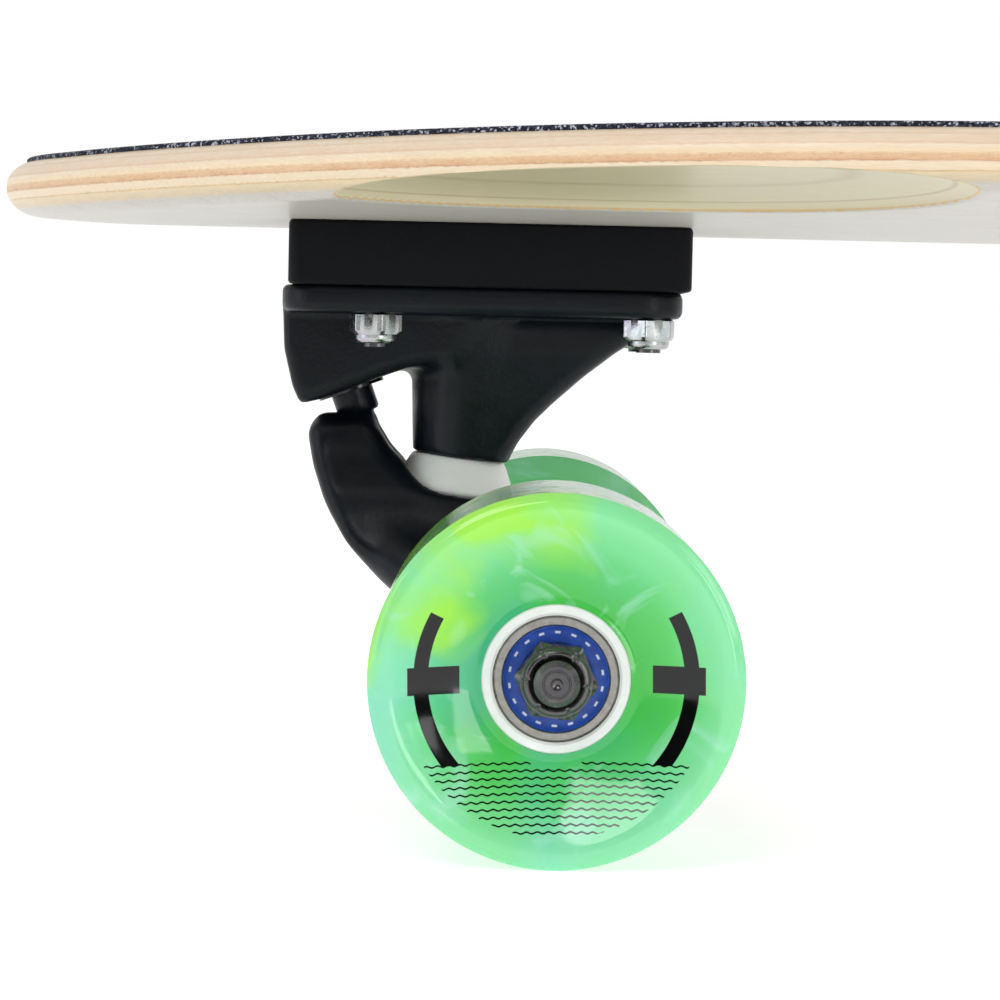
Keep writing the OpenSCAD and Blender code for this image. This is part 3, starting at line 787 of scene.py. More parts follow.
def build_tape():
    """The tape lies on the flat top and bends down over the rounded edge."""
    outline = deck_outline(*TAPE_POINTS)
    across, down = TOP_ROUND
    flat = [(t, across, 0) for t in np.linspace(0, 1, FLAT_STEPS)]
    bent = [
        (1, inset, -down * (1 - math.sqrt(1 - (1 - inset / across) ** 2)))
        for inset in np.linspace(across, TAPE_INSET, 6)[1:]
    ]
    fall = bent[-1][2]
    rim = [(1, TAPE_INSET + TAPE_EDGE_R * k, fall - TAPE_EDGE_R * (1 - k)) for k in (0.9, 0.5, 0.1)]
    high, low = DECK_TOP + TAPE_T, DECK_TOP + TAPE_GAP
    rows = deck_rings(flat + bent[:-1] + rim, outline, high, False)
    rows += deck_rings(bent[::-1] + flat[::-1], outline, low, False)
    hole = [(BOLT_HEAD_R + 0.0003, high), (BOLT_HEAD_R + 0.0003, low)]
    finish_piece(sheet_piece("grip_tape_grit", rows, hole, "grip"), "board", "grip_tape")


# ---------- riser pads ----------

def slab_outline(lo, hi, radius, inset):
    """A rectangle with rounded corners, drawn in by the inset."""
    points = []
    for cx, cy, start in (
        (hi.x - radius, hi.y - radius, 0), (lo.x + radius, hi.y - radius, 90),
        (lo.x + radius, lo.y + radius, 180), (hi.x - radius, lo.y + radius, 270),
    ):
        for a in np.radians(np.linspace(start, start + 90, 8)):
            points.append((cx + (radius - inset) * math.cos(a), cy + (radius - inset) * math.sin(a)))
    return points


RISER_CORNER_R = 0.003
RISER_EDGE_R = 0.0008


def build_riser(end):
    lo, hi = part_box(f"{end}_riser_pad")
    r = RISER_EDGE_R
    rings = [(r, lo.z)]
    rings += [(r * (1 - math.sin(a)), lo.z + r * (1 - math.cos(a))) for a in np.radians((30, 60, 90))]
    rings += [(r * (1 - math.cos(a)), hi.z - r * (1 - math.sin(a))) for a in np.radians((0, 30, 60, 90))]
    verts = []
    for inset, z in rings:
        loop = slab_outline(lo, hi, RISER_CORNER_R, inset)
        verts += [(x, y, z) for x, y in loop]
    n = len(loop)
    faces = ring_faces(len(rings), n)
    faces += [tuple(range(n - 1, -1, -1)), tuple((len(rings) - 1) * n + i for i in range(n))]
    piece = sharpen(new_piece(f"{end}_riser_block", verts, faces, ["riser"]), 50)
    finish_piece(piece, "board", f"{end}_riser_pad")


# ---------- castings, from distance fields in millimetres in the truck's own frame ----------

VOXEL = 0.7
FLANGE_Z, FLANGE_TOP = 95.5, 100.8
FLANGE_MID = -14.75
FLANGE_CORNER = 8.0
# Half sizes of the flange between its rounded corners
FLANGE_INNER = (31.65, 19.0)
PIVOT_BLOCK_HALF = 13.5
PIVOT = (-43.9, 87.2)
PIVOT_BALL_R = 5.0
# Radius of the pivot cup's bore and its end along the neck's line
PIVOT_CUP = (6.94, 7.45)
NECK_TILT = -20.0
NECK_R = 4.3
NECK_HALF = 6.5
RING = (-20.4, 54.8)
RING_R = 14.4
RING_HALF = 4.0
# Radius of the ring's hole, and how far it is cut each way from the ring's middle
RING_HOLE = (8.0, 20.0)
# Radii of the seats for the bushings, above and below the ring, and the lower seat's sideways stretch
SEAT_R = (12.8, 12.3)
SEAT_STRETCH = 5.0
KINGPIN_TILT = 6.1
KINGPIN_HOLE_R = 4.82
# Radius of the hole for the kingpin's head, and the height along the kingpin where it starts
KINGPIN_HEAD = (8.4, 39.5)
# The boss round the kingpin: radius at its face, widening, and heights of both ends along the kingpin
BOSS_R = 9.4
BOSS_TAPER = 4 / 29
BOSS_FACE, BOSS_TOP = 12.0, 43.0
BOLT_MID = -8.75
CAST_HOLE_R = 2.8
AXLE_HOLE_R = 4.0
HANGER_END = 81.6
# Where the beam's taper starts and stops, from the hanger's end inwards, and the radii there
BEAM_TAPER = ((22, 8), (9.0, 7.6))
# Outlines from the side (x, z), the front (y, z) and above (x, y), each point with its corner's radius
PIVOT_BLOCK = [
    (-54.8, 96.5, 0), (-54.4, 88, 10), (-52.6, 80.5, 5), (-51, 77, 1.2), (-46.5, 78.1, 3),
    (-36, 82.3, 10), (-29.5, 84.7, 8), (-20, 86.2, 0), (-14, 96.5, 0),
]
STRUT_SIDE = [
    (-23, 62, 0), (-23, 96.5, 0), (17.5, 96.5, 0), (15.5, 90.7, 2), (12, 88.4, 12),
    (6, 83.7, 30), (0, 78.3, 30), (-3.8, 74.5, 14), (-6.9, 70.2, 10), (-8.8, 66.9, 2), (-10.4, 62, 0),
]
STRUT_FRONT = [(0, 62, 0), (9, 62, 0), (9.5, 67, 14), (12.6, 88, 12), (12.9, 96.5, 0), (0, 96.5, 0)]
HANGER_SIDE = [
    (-47.4, 75.4, 2), (-49.8, 71.7, 5), (-48.4, 64.7, 20), (-45.4, 56.7, 30), (-40.9, 49.3, 30),
    (-33.5, 41.6, 30), (-9, 24.4, 8), (2, 24.2, 5), (7.5, 29, 4), (7, 39, 5), (-4.5, 50, 10),
    (-7, 58, 1.5), (-17.4, 58.2, 0), (-23.2, 59.6, 12), (-29, 64.7, 5), (-33, 68.8, 8),
    (-35.6, 73, 4), (-36.2, 76.2, 1.5),
]
HANGER_FRONT = [
    (0, 77.2, 0), (5.2, 77, 3), (8.8, 73, 4), (9.6, 68, 14), (14.6, 60, 8), (16.5, 53, 12),
    (27, 45, 14), (52, 41, 30), (70, 36, 0), (70, 29, 0), (50, 26, 20), (16, 22, 0), (0, 22, 0),
]
HANGER_PLAN = [
    (-60, 0, 0), (-60, 19, 0), (-36, 19, 8), (-24, 27, 14), (-11.5, 42, 16), (-8.6, 72, 0), (9, 72, 0),
    (9, 0, 0),
]


def rounded_outline(points):
    """The outline with each corner turned into an arc of its radius."""
    out = []
    n = len(points)
    for i, (x, y, r) in enumerate(points):
        here = np.array((x, y), float)
        if r == 0:
            out.append(here)
            continue
        back = np.array(points[i - 1][:2]) - here
        ahead = np.array(points[(i + 1) % n][:2]) - here
        back, ahead = back / np.hypot(*back), ahead / np.hypot(*ahead)
        half = math.acos(max(-1, min(1, float(back @ ahead)))) / 2
        middle_way = back + ahead
        center = here + middle_way / np.hypot(*middle_way) * r / math.sin(half)
        start = here + back * r / math.tan(half) - center
        stop = here + ahead * r / math.tan(half) - center
        a0 = math.atan2(start[1], start[0])
        da = (math.atan2(stop[1], stop[0]) - a0 + math.pi) % (2 * math.pi) - math.pi
        turns = [a0 + da * k / 5 for k in range(6)]
        out += [center + r * np.array((math.cos(a), math.sin(a))) for a in turns]
    return np.array(out)


def outline_distance(u, v, points):
    """Signed distance to an outline, negative inside."""
    points = rounded_outline(points)
    best = np.full(np.broadcast(u, v).shape, 1e9)
    inside = np.zeros(best.shape, bool)
    for (x0, y0), (x1, y1) in zip(points, np.roll(points, -1, axis=0)):
        dx, dy = x1 - x0, y1 - y0
        t = np.clip(((u - x0) * dx + (v - y0) * dy) / (dx * dx + dy * dy), 0, 1)
        best = np.minimum(best, (u - x0 - t * dx) ** 2 + (v - y0 - t * dy) ** 2)
        inside ^= ((y0 > v) != (y1 > v)) & (u < x0 + (v - y0) * dx / (dy or 1e-9))
    return np.where(inside, -1, 1) * np.sqrt(best)


def meet(radius, *fields):
    """What the fields have in common, with its edges rounded."""
    out = fields[0]
    for other in fields[1:]:
        a, b = out + radius, other + radius
        out = np.minimum(np.maximum(a, b), 0) + np.hypot(np.maximum(a, 0), np.maximum(b, 0)) - radius
    return out


def fuse(radius, *fields):
    """The fields together, with fillets where they join."""
    return -meet(radius, *(-f for f in fields))


def cut(field, tool, radius=0.5):
    return meet(radius, field, -tool)


class Grid:
    """A box of points, with distances measured from a tilted line in the XZ plane."""

    def __init__(self, lo, hi):
        axes = [np.arange(a, b + VOXEL, VOXEL) for a, b in zip(lo, hi)]
        self.x, self.y, self.z = np.meshgrid(*axes, indexing="ij", sparse=True)
        self.origin = np.array(lo, float)

    def on_line(self, place, tilt):
        """Distance from the line and height along it."""
        t = math.radians(tilt)
        dx, dz = self.x - place[0], self.z - place[1]
        off = dx * math.cos(t) - dz * math.sin(t)
        height = dx * math.sin(t) + dz * math.cos(t)
        return off, height


def skin(field, origin):
    """A smooth closed mesh round a field's inside: one vertex in each cell that the surface crosses."""
    shape = np.array(field.shape) - 1
    total = np.zeros((*shape, 3))
    count = np.zeros(shape)
    crossings = []
    for axis in range(3):
        a = np.moveaxis(field, axis, 0)[:-1]
        b = np.moveaxis(field, axis, 0)[1:]
        crossed = (a < 0) != (b < 0)
        t = np.where(crossed, a / np.where(a == b, 1, a - b), 0)
        n1, n2 = crossed.shape[1] - 1, crossed.shape[2] - 1
        moved_total, moved_count = np.moveaxis(total, axis, 0), np.moveaxis(count, axis, 0)
        others = [k for k in range(3) if k != axis]
        for d1 in (0, 1):
            for d2 in (0, 1):
                near = crossed[:, d1:n1 + d1, d2:n2 + d2]
                moved_total[..., axis] += near * t[:, d1:n1 + d1, d2:n2 + d2]
                moved_total[..., others[0]] += near * d1
                moved_total[..., others[1]] += near * d2
                moved_count += near
        crossings.append((crossed, a < 0))
    used = count > 0
    index = np.cumsum(used.ravel()).reshape(used.shape) - 1
    cells = np.argwhere(used)
    verts = origin + VOXEL * (cells + total[used] / count[used][:, None])
    faces = []
    for axis, (crossed, low_inside) in enumerate(crossings):
        moved = np.moveaxis(index, axis, 0)
        inner = crossed[:, 1:-1, 1:-1]
        quads = np.stack([moved[:, :-1, :-1][inner], moved[:, 1:, :-1][inner],
                          moved[:, 1:, 1:][inner], moved[:, :-1, 1:][inner]], axis=1)
        flip = low_inside[:, 1:-1, 1:-1][inner] ^ (axis == 1)
        quads[~flip] = quads[~flip][:, ::-1]
        faces.append(quads)
    return verts, np.concatenate(faces)


def flange_plan(g):
    """Distance to the flange's outline seen from above."""
    past_x = np.abs(g.x - FLANGE_MID) - FLANGE_INNER[0]
    past_y = np.abs(g.y) - FLANGE_INNER[1]
    outside = np.hypot(np.maximum(past_x, 0), np.maximum(past_y, 0))
    return outside + np.minimum(np.maximum(past_x, past_y), 0) - FLANGE_CORNER


def baseplate_field(g):
    flat = np.abs(g.z - (FLANGE_Z + FLANGE_TOP) / 2) - (FLANGE_TOP - FLANGE_Z) / 2
    flange = meet(1.3, flange_plan(g), flat)
    block = meet(2.2, outline_distance(g.x, g.z, PIVOT_BLOCK), np.abs(g.y) - PIVOT_BLOCK_HALF)
    strut = meet(3.6, outline_distance(g.x, g.z, STRUT_SIDE), outline_distance(np.abs(g.y), g.z, STRUT_FRONT))
    off, height = g.on_line(RING, KINGPIN_TILT)
    reach = np.hypot(off, g.y)
    cone = (reach - BOSS_R - (height - BOSS_FACE) * BOSS_TAPER) * 0.99
    body = fuse(3.0, block, fuse(2.5, strut, np.maximum(cone, height - BOSS_TOP)))
    body = meet(0.9, body, BOSS_FACE - height)
    body = np.maximum(fuse(0.9, flange, body), g.z - FLANGE_TOP)
    body = cut(body, reach - KINGPIN_HOLE_R)
    body = cut(body, np.maximum(reach - KINGPIN_HEAD[0], KINGPIN_HEAD[1] - height))
    off, height = g.on_line(PIVOT, NECK_TILT)
    body = cut(body, np.maximum(np.hypot(off, g.y) - PIVOT_CUP[0], height - PIVOT_CUP[1]), 0.4)
    bolt = np.hypot(np.abs(g.x - BOLT_MID) - BOLT_X / MM, np.abs(g.y) - BOLT_Y / MM)
    return cut(body, bolt - CAST_HOLE_R, 0.4)


def hanger_field(g):
    side = outline_distance(g.x, g.z, HANGER_SIDE)
    front = outline_distance(np.abs(g.y), g.z, HANGER_FRONT)
    plan = outline_distance(g.x, np.abs(g.y), HANGER_PLAN)
    off, height = g.on_line(RING, KINGPIN_TILT)
    reach = np.hypot(off, g.y)
    ring = meet(1.2, reach - RING_R, np.abs(height) - RING_HALF)
    radial = np.hypot(g.x, g.z - WHEEL_R / MM)
    starts, radii = BEAM_TAPER
    thickness = np.interp(np.abs(g.y), [HANGER_END - d for d in starts], radii)
    beam = meet(0.6, radial - thickness, np.abs(g.y) - HANGER_END)
    body = fuse(3.0, meet(3.8, side, front, plan), ring, beam)
    neck_off, neck_height = g.on_line(PIVOT, NECK_TILT)
    neck = np.maximum(np.hypot(neck_off, g.y) - NECK_R, np.abs(neck_height + NECK_HALF) - NECK_HALF)
    ball = np.sqrt(neck_off ** 2 + neck_height ** 2 + g.y ** 2) - PIVOT_BALL_R
    body = np.minimum(fuse(1.4, body, neck), ball)
    body = cut(body, np.maximum(reach - RING_HOLE[0], np.abs(height) - RING_HOLE[1]))
    body = cut(body, np.maximum(reach - SEAT_R[0], RING_HALF - height), 0.8)
    slot = np.hypot(off, np.maximum(np.abs(g.y) - SEAT_STRETCH, 0)) - SEAT_R[1]
    body = cut(body, np.maximum(slot, height + RING_HALF), 0.8)
    return cut(body, radial - AXLE_HOLE_R, 0.3)


# Each casting's field and the corners of the box of points it is worked out in
CASTINGS = {
    "baseplate": (baseplate_field, (-57, -30, 62), (28, 30, 103)),
    "hanger": (hanger_field, (-53, -84, 20), (12, 84, 94)),
}


def casting_mesh(part):
    field, lo, hi = CASTINGS[part]
    grid = Grid(lo, hi)
    verts, faces = skin(field(grid), grid.origin)
    mesh = bpy.data.meshes.new(f"{part}_casting")
    mesh.from_pydata(verts * MM, [], faces.tolist())
    mesh.materials.append(MATERIALS["casting"])
    mesh.polygons.foreach_set("use_smooth", [True] * len(mesh.polygons))
    return mesh


def build_castings():
    for part in CASTINGS:
        mesh = casting_mesh(part)
        for end in ENDS:
            piece = add_object(f"{end}_cast_{part}", mesh)
            piece.matrix_world = truck_place(end)
            body = "board" if part == "baseplate" else hanger_body(end)
            finish_piece(piece, body, f"{end}_{part}")


def truck_place(end):
    """The truck's own frame: origin on the ground under the axle, -X outwards."""
    turned = Matrix.Rotation(0 if end == "front" else math.pi, 4, "Z")
    return Matrix.Translation((AXLE[end].x, 0, 0)) @ turned


def paint(node, key):
    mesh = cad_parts[node].data
    mesh.materials.clear()
    mesh.materials.append(MATERIALS[key])


# ---------- nuts, axles and bearings ----------

MOUNTING_NUT = {"flats": 0.009525, "body_h": 0.0042, "collar_r": 0.0041, "hole_r": 0.00242}
AXLE_NUT = {"flats": 0.0127, "body_h": 0.0043, "collar_r": 0.0058, "hole_r": 0.004}
AXLE_NUT_SEAT = 0.0084
CRIMPS = 6
CRIMP_DEPTH = 0.0006
AXLE_R = 0.00397
THREAD_PITCH = 0.0009
THREAD_DEPTH = 0.00022
THREAD_TURNS = 26


def hexed(flats, start):
    """Trims a lathe's rings to a hexagon's sides, so that its chamfers meet them in curves."""
    def shape(radii, heights, turn):
        within = (turn - start + math.pi / 6) % (math.pi / 3) - math.pi / 6
        side = flats / 2 / np.cos((within + math.pi / 3) % (math.pi / 3) - math.pi / 6)
        return np.minimum(radii, side), heights
    return shape


def nut_solid(flats, body_h, collar_r, hole_r, total_h, start, crimps=0):
    """A lock nut from its bearing face up: chamfered hexagon and collar, with small dents if crimped."""
    corner = flats / 2 / math.cos(math.pi / 6)
    chamfer = corner - flats / 2 * 0.97
    rise = total_h - body_h
    trim = hexed(flats, start)

    def shape(radii, heights, turn):
        radii, heights = trim(radii, heights, turn)
        if crimps:
            on_collar = np.clip(1 - np.abs(radii - collar_r * 0.93) / (collar_r * 0.12), 0, 1)
            wave = np.cos((turn - start) * crimps)
            heights = heights - on_collar * wave ** 12 * (wave > 0) * CRIMP_DEPTH * (heights > body_h)
        return radii, heights

    profile = [
        (hole_r, 0), (flats / 2 * 0.96, 0), (corner + 0.0001, chamfer * 0.45),
        (corner + 0.0001, body_h - chamfer * 0.7), (flats / 2 * 0.985, body_h - chamfer * 0.02),
        (collar_r + 0.0002, body_h), (collar_r, body_h + rise * 0.15),
        *arc((collar_r - rise * 0.55, total_h - rise * 0.55), rise * 0.55, 0, 90, 6),
        (hole_r + 0.0006, total_h - rise * 0.1), (hole_r, total_h - rise * 0.45),
    ]
    return lathe(profile, 180, shape)


def facing(origin, direction, up=(0, 0, 1)):
    """A matrix that stands local +Z along a direction at a place, local Y near up."""
    z = Vector(direction).normalized()
    x = Vector(up).cross(z).normalized()
    y = z.cross(x)
    return Matrix((
        (x.x, y.x, z.x, origin[0]), (x.y, y.y, z.y, origin[1]), (x.z, y.z, z.z, origin[2]), (0, 0, 0, 1),
    ))


def build_mounting_nuts(end):
    node = f"{end}_mounting_nuts"
    lo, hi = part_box(node)
    center = (lo + hi) / 2
    parts = []
    for k, (sx, sy) in enumerate([(-1, -1), (1, -1), (1, 1), (-1, 1)]):
        solid = nut_solid(total_h=hi.z - lo.z, start=math.radians(15 + 24 * k), **MOUNTING_NUT)
        place = facing((center.x + sx * BOLT_X, sy * BOLT_Y, hi.z), (0, 0, -1), (0, 1, 0))
        parts.append((*solid, place))
    piece = new_piece(f"{end}_lock_nuts", *join_meshes(parts), ["zinc"])
    finish_piece(sharpen(piece), "board", node)


def outward(side):
    return Vector((0, -1 if side == "left" else 1, 0))


def hub_place(end, side, distance):
    """Local +Z outwards along the axle, local Y up, at a distance from the board's centreline."""
    return facing(Vector((AXLE[end].x, 0, AXLE[end].z)) + outward(side) * distance, outward(side))


def build_axle_nuts(end):
    node = f"{end}_axle_nuts"
    face = AXLE_HALF - AXLE_NUT_SEAT
    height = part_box(node)[1].y - face
    solid = nut_solid(total_h=height, start=math.radians(-6), crimps=CRIMPS, **AXLE_NUT)
    parts = [(*solid, hub_place(end, side, face)) for side in SIDES]
    piece = new_piece(f"{end}_crimped_axle_nuts", *join_meshes(parts), ["black"])
    finish_piece(sharpen(piece), hanger_body(end), node)


def build_axle(end):
    """A rod with a thread and a shallow turned mark at both ends."""
    half, r = AXLE_HALF, AXLE_R
    section = [
        (0, half - 0.0011), (0.0009, half - 0.0002), (0.0011, half), (0.0021, half),
        (0.0022, half - 0.00012), (0.0024, half - 0.00012), (0.0025, half), (0.0031, half),
        (r, half - 0.0009),
    ]
    for k in range(THREAD_TURNS):
        z = half - 0.0014 - k * THREAD_PITCH
        section += [(r, z), (r - THREAD_DEPTH, z - 0.00035), (r, z - 0.0007)]
    section += [(x, -y) for x, y in reversed(section)]
    piece = weld(new_piece(f"{end}_axle_rod", *lathe(section, 96), ["black"], hub_place(end, "left", 0)))
    finish_piece(sharpen(piece, 30), hanger_body(end), f"{end}_axle")


# ---------- wheels ----------

BEARING_W = 0.007
BEARING_GAP = 0.010
CORE_W = 2 * BEARING_W + BEARING_GAP
BEARING_FACE = AXLE_HALF - 0.0094
TREAD_HALF = 0.025
LIP = 0.0013
# How far each wheel is turned, in degrees, so that its pour looks its own
WHEEL_SPIN = {"front_left": 1.4, "front_right": 205, "rear_left": 70, "rear_right": 310}
# Sections in millimetres: radius and height along the axle
RACE = [
    (9.5, 0.0), (10.6, 0.0), (10.98, 0.4), (10.98, 6.6), (10.6, 7.0), (9.5, 7.0), (9.25, 6.75), (9.25, 0.25),
]
SEAL = [
    (6.25, 6.2), (9.2, 6.2), (9.22, 6.7), (9.0, 6.85), (8.7, 6.72), (7.4, 6.72), (7.1, 6.82), (6.5, 6.82),
    (6.25, 6.6),
]


def tyre_profile(mid):
    """Half section from the core's inner end round the tread to its outer end, heights from mid."""
    core_out = (BEARING_FACE - mid + 0.0001) / MM
    core_in = core_out - CORE_W / MM
    r, t = WHEEL_R / MM, TREAD_HALF / MM
    inner = curve([(13, core_in), (15.2, core_in - 0.7), (18.5, -9.5), (22, 3.4 - t), (25.6, 0.6 - t)], 8)
    inner += arc((28.2, 0.2 - t), 0.9, 200, 290, 7) + [(31.2, -t - 0.6), (r - 0.25, -t - 0.1)]
    edge = t - 0.02
    tread = [(r, -t), (r, -edge)] + [(r, edge * (k / 3 - 1)) for k in range(1, 6)] + [(r, edge), (r, t)]
    outer = curve([
        (31.7, t + 0.85), (30.6, t + 1.35), (28.6, t + 1.2), (25.4, t - 0.5), (21.4, t - 2.8),
        (17.4, t - 4.6), (14.6, t - 5.45), (13, core_out),
    ], 8)
    return in_mm(inner + tread + [(r - 0.22, t + 0.3)] + outer)


def build_tyre(end, side):
    wheel = f"{end}_{side}"
    mid = max(abs(corner.y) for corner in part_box(f"{wheel}_tyre")) - TREAD_HALF - LIP
    verts, faces = lathe(tyre_profile(mid), 240)
    piece = new_piece(f"{wheel}_poured_tyre", verts, faces, ["urethane", "tread"], hub_place(end, side, mid))
    turned = Matrix.Rotation(-math.radians(WHEEL_SPIN[wheel]), 3, "Z")
    spun = np.array(verts) @ np.array(turned).T
    piece.data.attributes.new("spun", "FLOAT_VECTOR", "POINT").data.foreach_set("vector", spun.ravel())
    for face in piece.data.polygons:
        on_tread = all(math.hypot(*piece.data.vertices[i].co.xy) > WHEEL_R - 0.00002 for i in face.vertices)
        face.material_index = 1 if on_tread else 0
    finish_piece(sharpen(piece, 28), f"{wheel}_wheel", f"{wheel}_tyre")


def build_core(end, side):
    """The hub, with a seat for a bearing at each end and a shoulder between them."""
    wheel = f"{end}_{side}"
    h, seat = CORE_W / MM, BEARING_W / MM
    profile = [
        (11.35, -0.25), (12.6, -0.3), (12.97, 0.0), (12.97, h), (12.7, h + 0.28), (11.5, h + 0.3),
        (11.04, h - 0.05), (11.02, h - seat), (9.2, h - seat), (9.2, seat), (11.02, seat), (11.04, 0.1),
    ]
    place = hub_place(end, side, BEARING_FACE - CORE_W)
    piece = new_piece(f"{wheel}_hub_core", *lathe(in_mm(profile), 160), ["core"], place)
    finish_piece(sharpen(piece), f"{wheel}_wheel", f"{wheel}_core")


def stacked(section, flips):
    """The section's lathe in each of a wheel's two bearings, also turned end for end where flips says so."""
    parts = []
    for height in (0.0, BEARING_W + BEARING_GAP):
        for flip in flips:
            points = [(r, BEARING_W - h) for r, h in reversed(section)] if flip else section
            parts.append((*lathe(points, 128), Matrix.Translation((0, 0, height))))
    return join_meshes(parts)


def build_bearings(end, side):
    """Outer rings and seals of a wheel's two bearings."""
    wheel = f"{end}_{side}"
    place = hub_place(end, side, BEARING_FACE - CORE_W)
    piece = new_piece(f"{wheel}_bearing_races", *stacked(in_mm(RACE), [False]), ["bearing"], place)
    finish_piece(sharpen(piece), f"{wheel}_wheel", f"{wheel}_bearing_outer_rings")
    piece = new_piece(f"{wheel}_seals", *stacked(in_mm(SEAL), [False, True]), ["seal"], place)
    finish_piece(sharpen(piece), f"{wheel}_wheel", f"{wheel}_bearing_shields")


# ---------- bushings, between board and hanger -----------------------

# Radius and height along the kingpin from the ring's middle, in millimetres: the outer corner of
# the low end, the bulging side and the outer corner of the high end
BUSHING_HOLE_R = 4.9
BUSHINGS = {
    "upper": ((11.0, 4.1), [(11.4, 4.15), (12.0, 4.9), (11.9, 6.2), (10.9, 8.7), (9.9, 10.9), (9.4, 11.7)],
              (9.1, 11.95)),
    "lower": ((9.0, -13.95), [(9.3, -13.7), (9.9, -12.6), (10.2, -9.0), (9.9, -5.4), (9.3, -4.3)],
              (9.0, -4.05)),
}


def build_bushing(end, which):
    low, side, high = BUSHINGS[which]
    profile = [(BUSHING_HOLE_R, low[1]), low, *curve(side, 6), high, (BUSHING_HOLE_R, high[1])]
    verts, faces = lathe(in_mm(profile), 96)
    tilt = math.radians(KINGPIN_TILT)
    up = Vector((-OUT_X[end] * math.sin(tilt), 0, math.cos(tilt)))
    origin = truck_place(end) @ Vector((RING[0] * MM, 0, RING[1] * MM))
    place = facing(origin, up, (0, 1, 0))
    piece = new_piece(f"{end}_{which}_bushing_urethane", [place @ Vector(v) for v in verts], faces, ["ivory"])
    sharpen(piece, 40)
    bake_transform(piece)
    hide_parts(f"{end}_{which}_bushing")


# ---------- camera, light and floor ----------

CAMERA_DISTANCE = 0.6776
CAMERA_HEIGHT = 0.0917
CAMERA_SIDE = -0.0104
CAMERA_PITCH = math.radians(2.85)
CAMERA_ROLL = math.radians(1.3)
LENS = 119.4
# The world's strength in front of the board and behind it, and the stretch over which it changes
WORLD_LEVELS = (0.04, 0.8)
WORLD_FRONT = (-0.6, 0.1)
FRONT_TRUCK = (AXLE["front"].x, 0, 0.07)
FRONT_WHEEL = (AXLE["front"].x, -0.1, 0.04)
WHITE = (1, 1, 1)
# Each light's place, target, size, watts and colour
LIGHTS = {
    "key": ((-1.0, -1.6, 1.7), FRONT_TRUCK, (1.2, 0.9), 17, WHITE),
    "right": ((1.5, -0.9, 0.9), FRONT_TRUCK, (0.8, 1.2), 9, WHITE),
    "left": ((-1.6, -0.5, 0.3), FRONT_TRUCK, (0.5, 1.0), 3.5, (0.82, 0.9, 1)),
    "back": ((0.3, 1.8, 1.2), FRONT_TRUCK, (1.6, 0.8), 4.5, WHITE),
    "low_right": ((0.35, -1.0, 0.22), FRONT_WHEEL, (0.3, 0.5), 2.2, WHITE),
}
FLOOR_R = 8
FLOOR_SIDES = 64


def build_camera():
    data = bpy.data.cameras.new("camera")
    data.sensor_width = 36
    data.lens = LENS
    data.clip_start, data.clip_end = 0.05, 60
    camera = add_object("camera", data)
    forward = Vector((0, math.cos(CAMERA_PITCH), -math.sin(CAMERA_PITCH)))
    level = Vector((1, 0, 0))
    above = level.cross(forward)
    right = level * math.cos(CAMERA_ROLL) + above * math.sin(CAMERA_ROLL)
    up = above * math.cos(CAMERA_ROLL) - level * math.sin(CAMERA_ROLL)
    turn = Matrix((right, up, -forward)).transposed().to_4x4()
    place = Vector((AXLE["front"].x + CAMERA_SIDE, -CAMERA_DISTANCE, CAMERA_HEIGHT))
    camera.matrix_world = Matrix.Translation(place) @ turn
    bpy.context.scene.camera = camera


def area_light(name, place, target, size, power, color):
    data = bpy.data.lights.new(name, "AREA")
    data.shape = "RECTANGLE"
    data.size, data.size_y = size
    data.energy = power
    data.color = color
    light = add_object(name, data)
    light.location = place
    light.rotation_euler = (Vector(target) - Vector(place)).to_track_quat("-Z", "Y").to_euler()


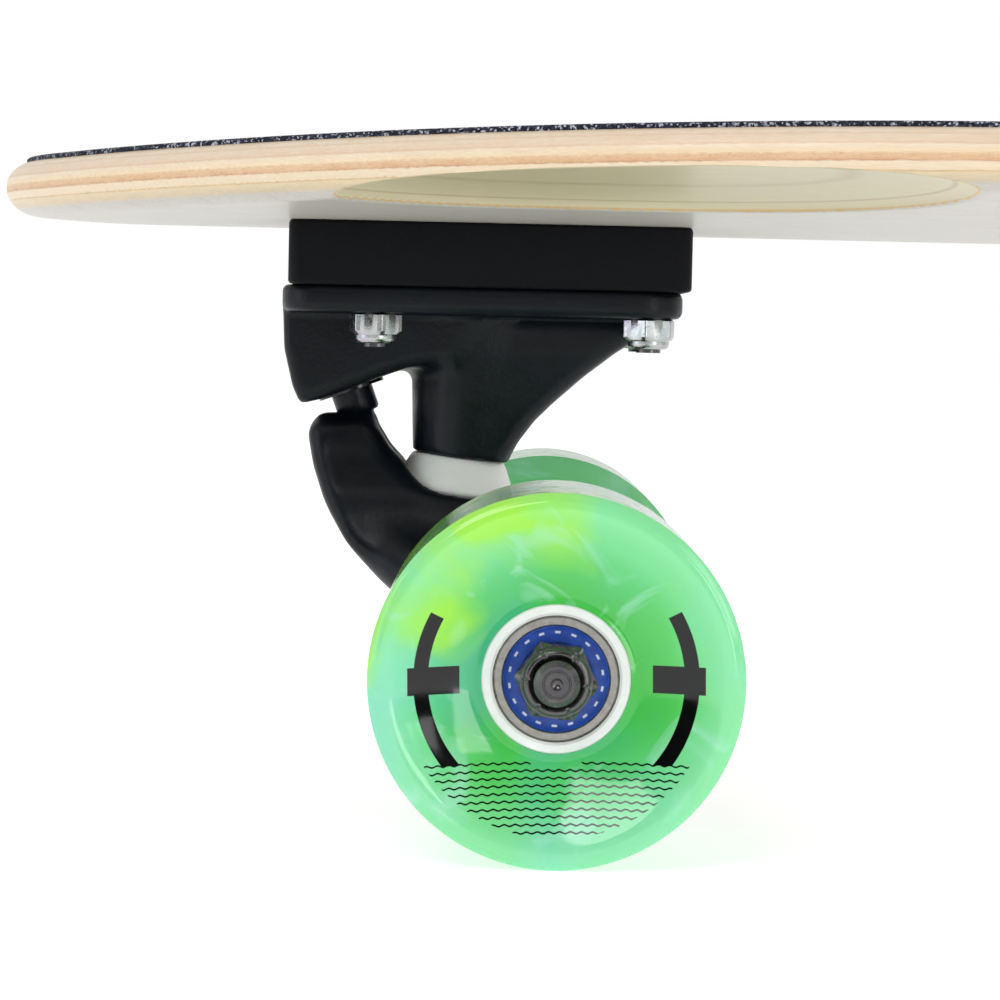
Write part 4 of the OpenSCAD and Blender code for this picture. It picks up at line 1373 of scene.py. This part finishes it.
def build_world():
    """White to the camera; to the board, dark in front and bright behind."""
    world = bpy.data.worlds.new("studio")
    world.use_nodes = True
    tree = world.node_tree
    new, link = tree.nodes.new, tree.links.new
    lit, seen = tree.nodes["Background"], new("ShaderNodeBackground")
    split, spread = new("ShaderNodeSeparateXYZ"), new("ShaderNodeMapRange")
    spread.interpolation_type = "SMOOTHSTEP"
    for socket, value in zip(("From Min", "From Max", "To Min", "To Max"), (*WORLD_FRONT, *WORLD_LEVELS)):
        spread.inputs[socket].default_value = value
    link(new("ShaderNodeTexCoord").outputs["Generated"], split.inputs[0])
    link(split.outputs["Y"], spread.inputs["Value"])
    link(spread.outputs[0], lit.inputs["Strength"])
    mixed = new("ShaderNodeMixShader")
    link(new("ShaderNodeLightPath").outputs["Is Camera Ray"], mixed.inputs[0])
    for socket, background in enumerate((lit, seen), 1):
        background.inputs["Color"].default_value = (1, 1, 1, 1)
        link(background.outputs[0], mixed.inputs[socket])
    link(mixed.outputs[0], tree.nodes["World Output"].inputs[0])
    bpy.context.scene.world = world
    bpy.context.scene.view_settings.view_transform = "Standard"


def build_floor():
    turn = np.linspace(0, 2 * math.pi, FLOOR_SIDES, endpoint=False)
    mesh = bpy.data.meshes.new("floor")
    verts = [(FLOOR_R * math.cos(a), FLOOR_R * math.sin(a), 0) for a in turn]
    mesh.from_pydata(verts, [], [tuple(range(FLOOR_SIDES))])
    mesh.materials.append(floor_material())
    add_object("floor", mesh)


# ---------- build everything ----------

# CAD parts that are seen as they are, with their materials
PAINTED = {
    "pivot_cup": "cup", "kingpin": "zinc", "kingpin_nut": "zinc", "cup_washer": "zinc",
    "mounting_bolts": "black", "speed_washers": "zinc", "bearing_inner_rings": "bearing",
    "bearing_spacers": "zinc",
}

build_camera()
build_world()
for name, settings in LIGHTS.items():
    area_light(name, *settings)
build_floor()
build_deck()
build_tape()
build_castings()
for end in ENDS:
    build_riser(end)
    build_mounting_nuts(end)
    build_axle_nuts(end)
    build_axle(end)
    for which in BUSHINGS:
        build_bushing(end, which)
    for part, key in PAINTED.items():
        paint(f"{end}_{part}", key)
    for side in SIDES:
        build_tyre(end, side)
        build_core(end, side)
        build_bearings(end, side)
        paint(f"{end}_{side}_bearing_balls", "bearing")
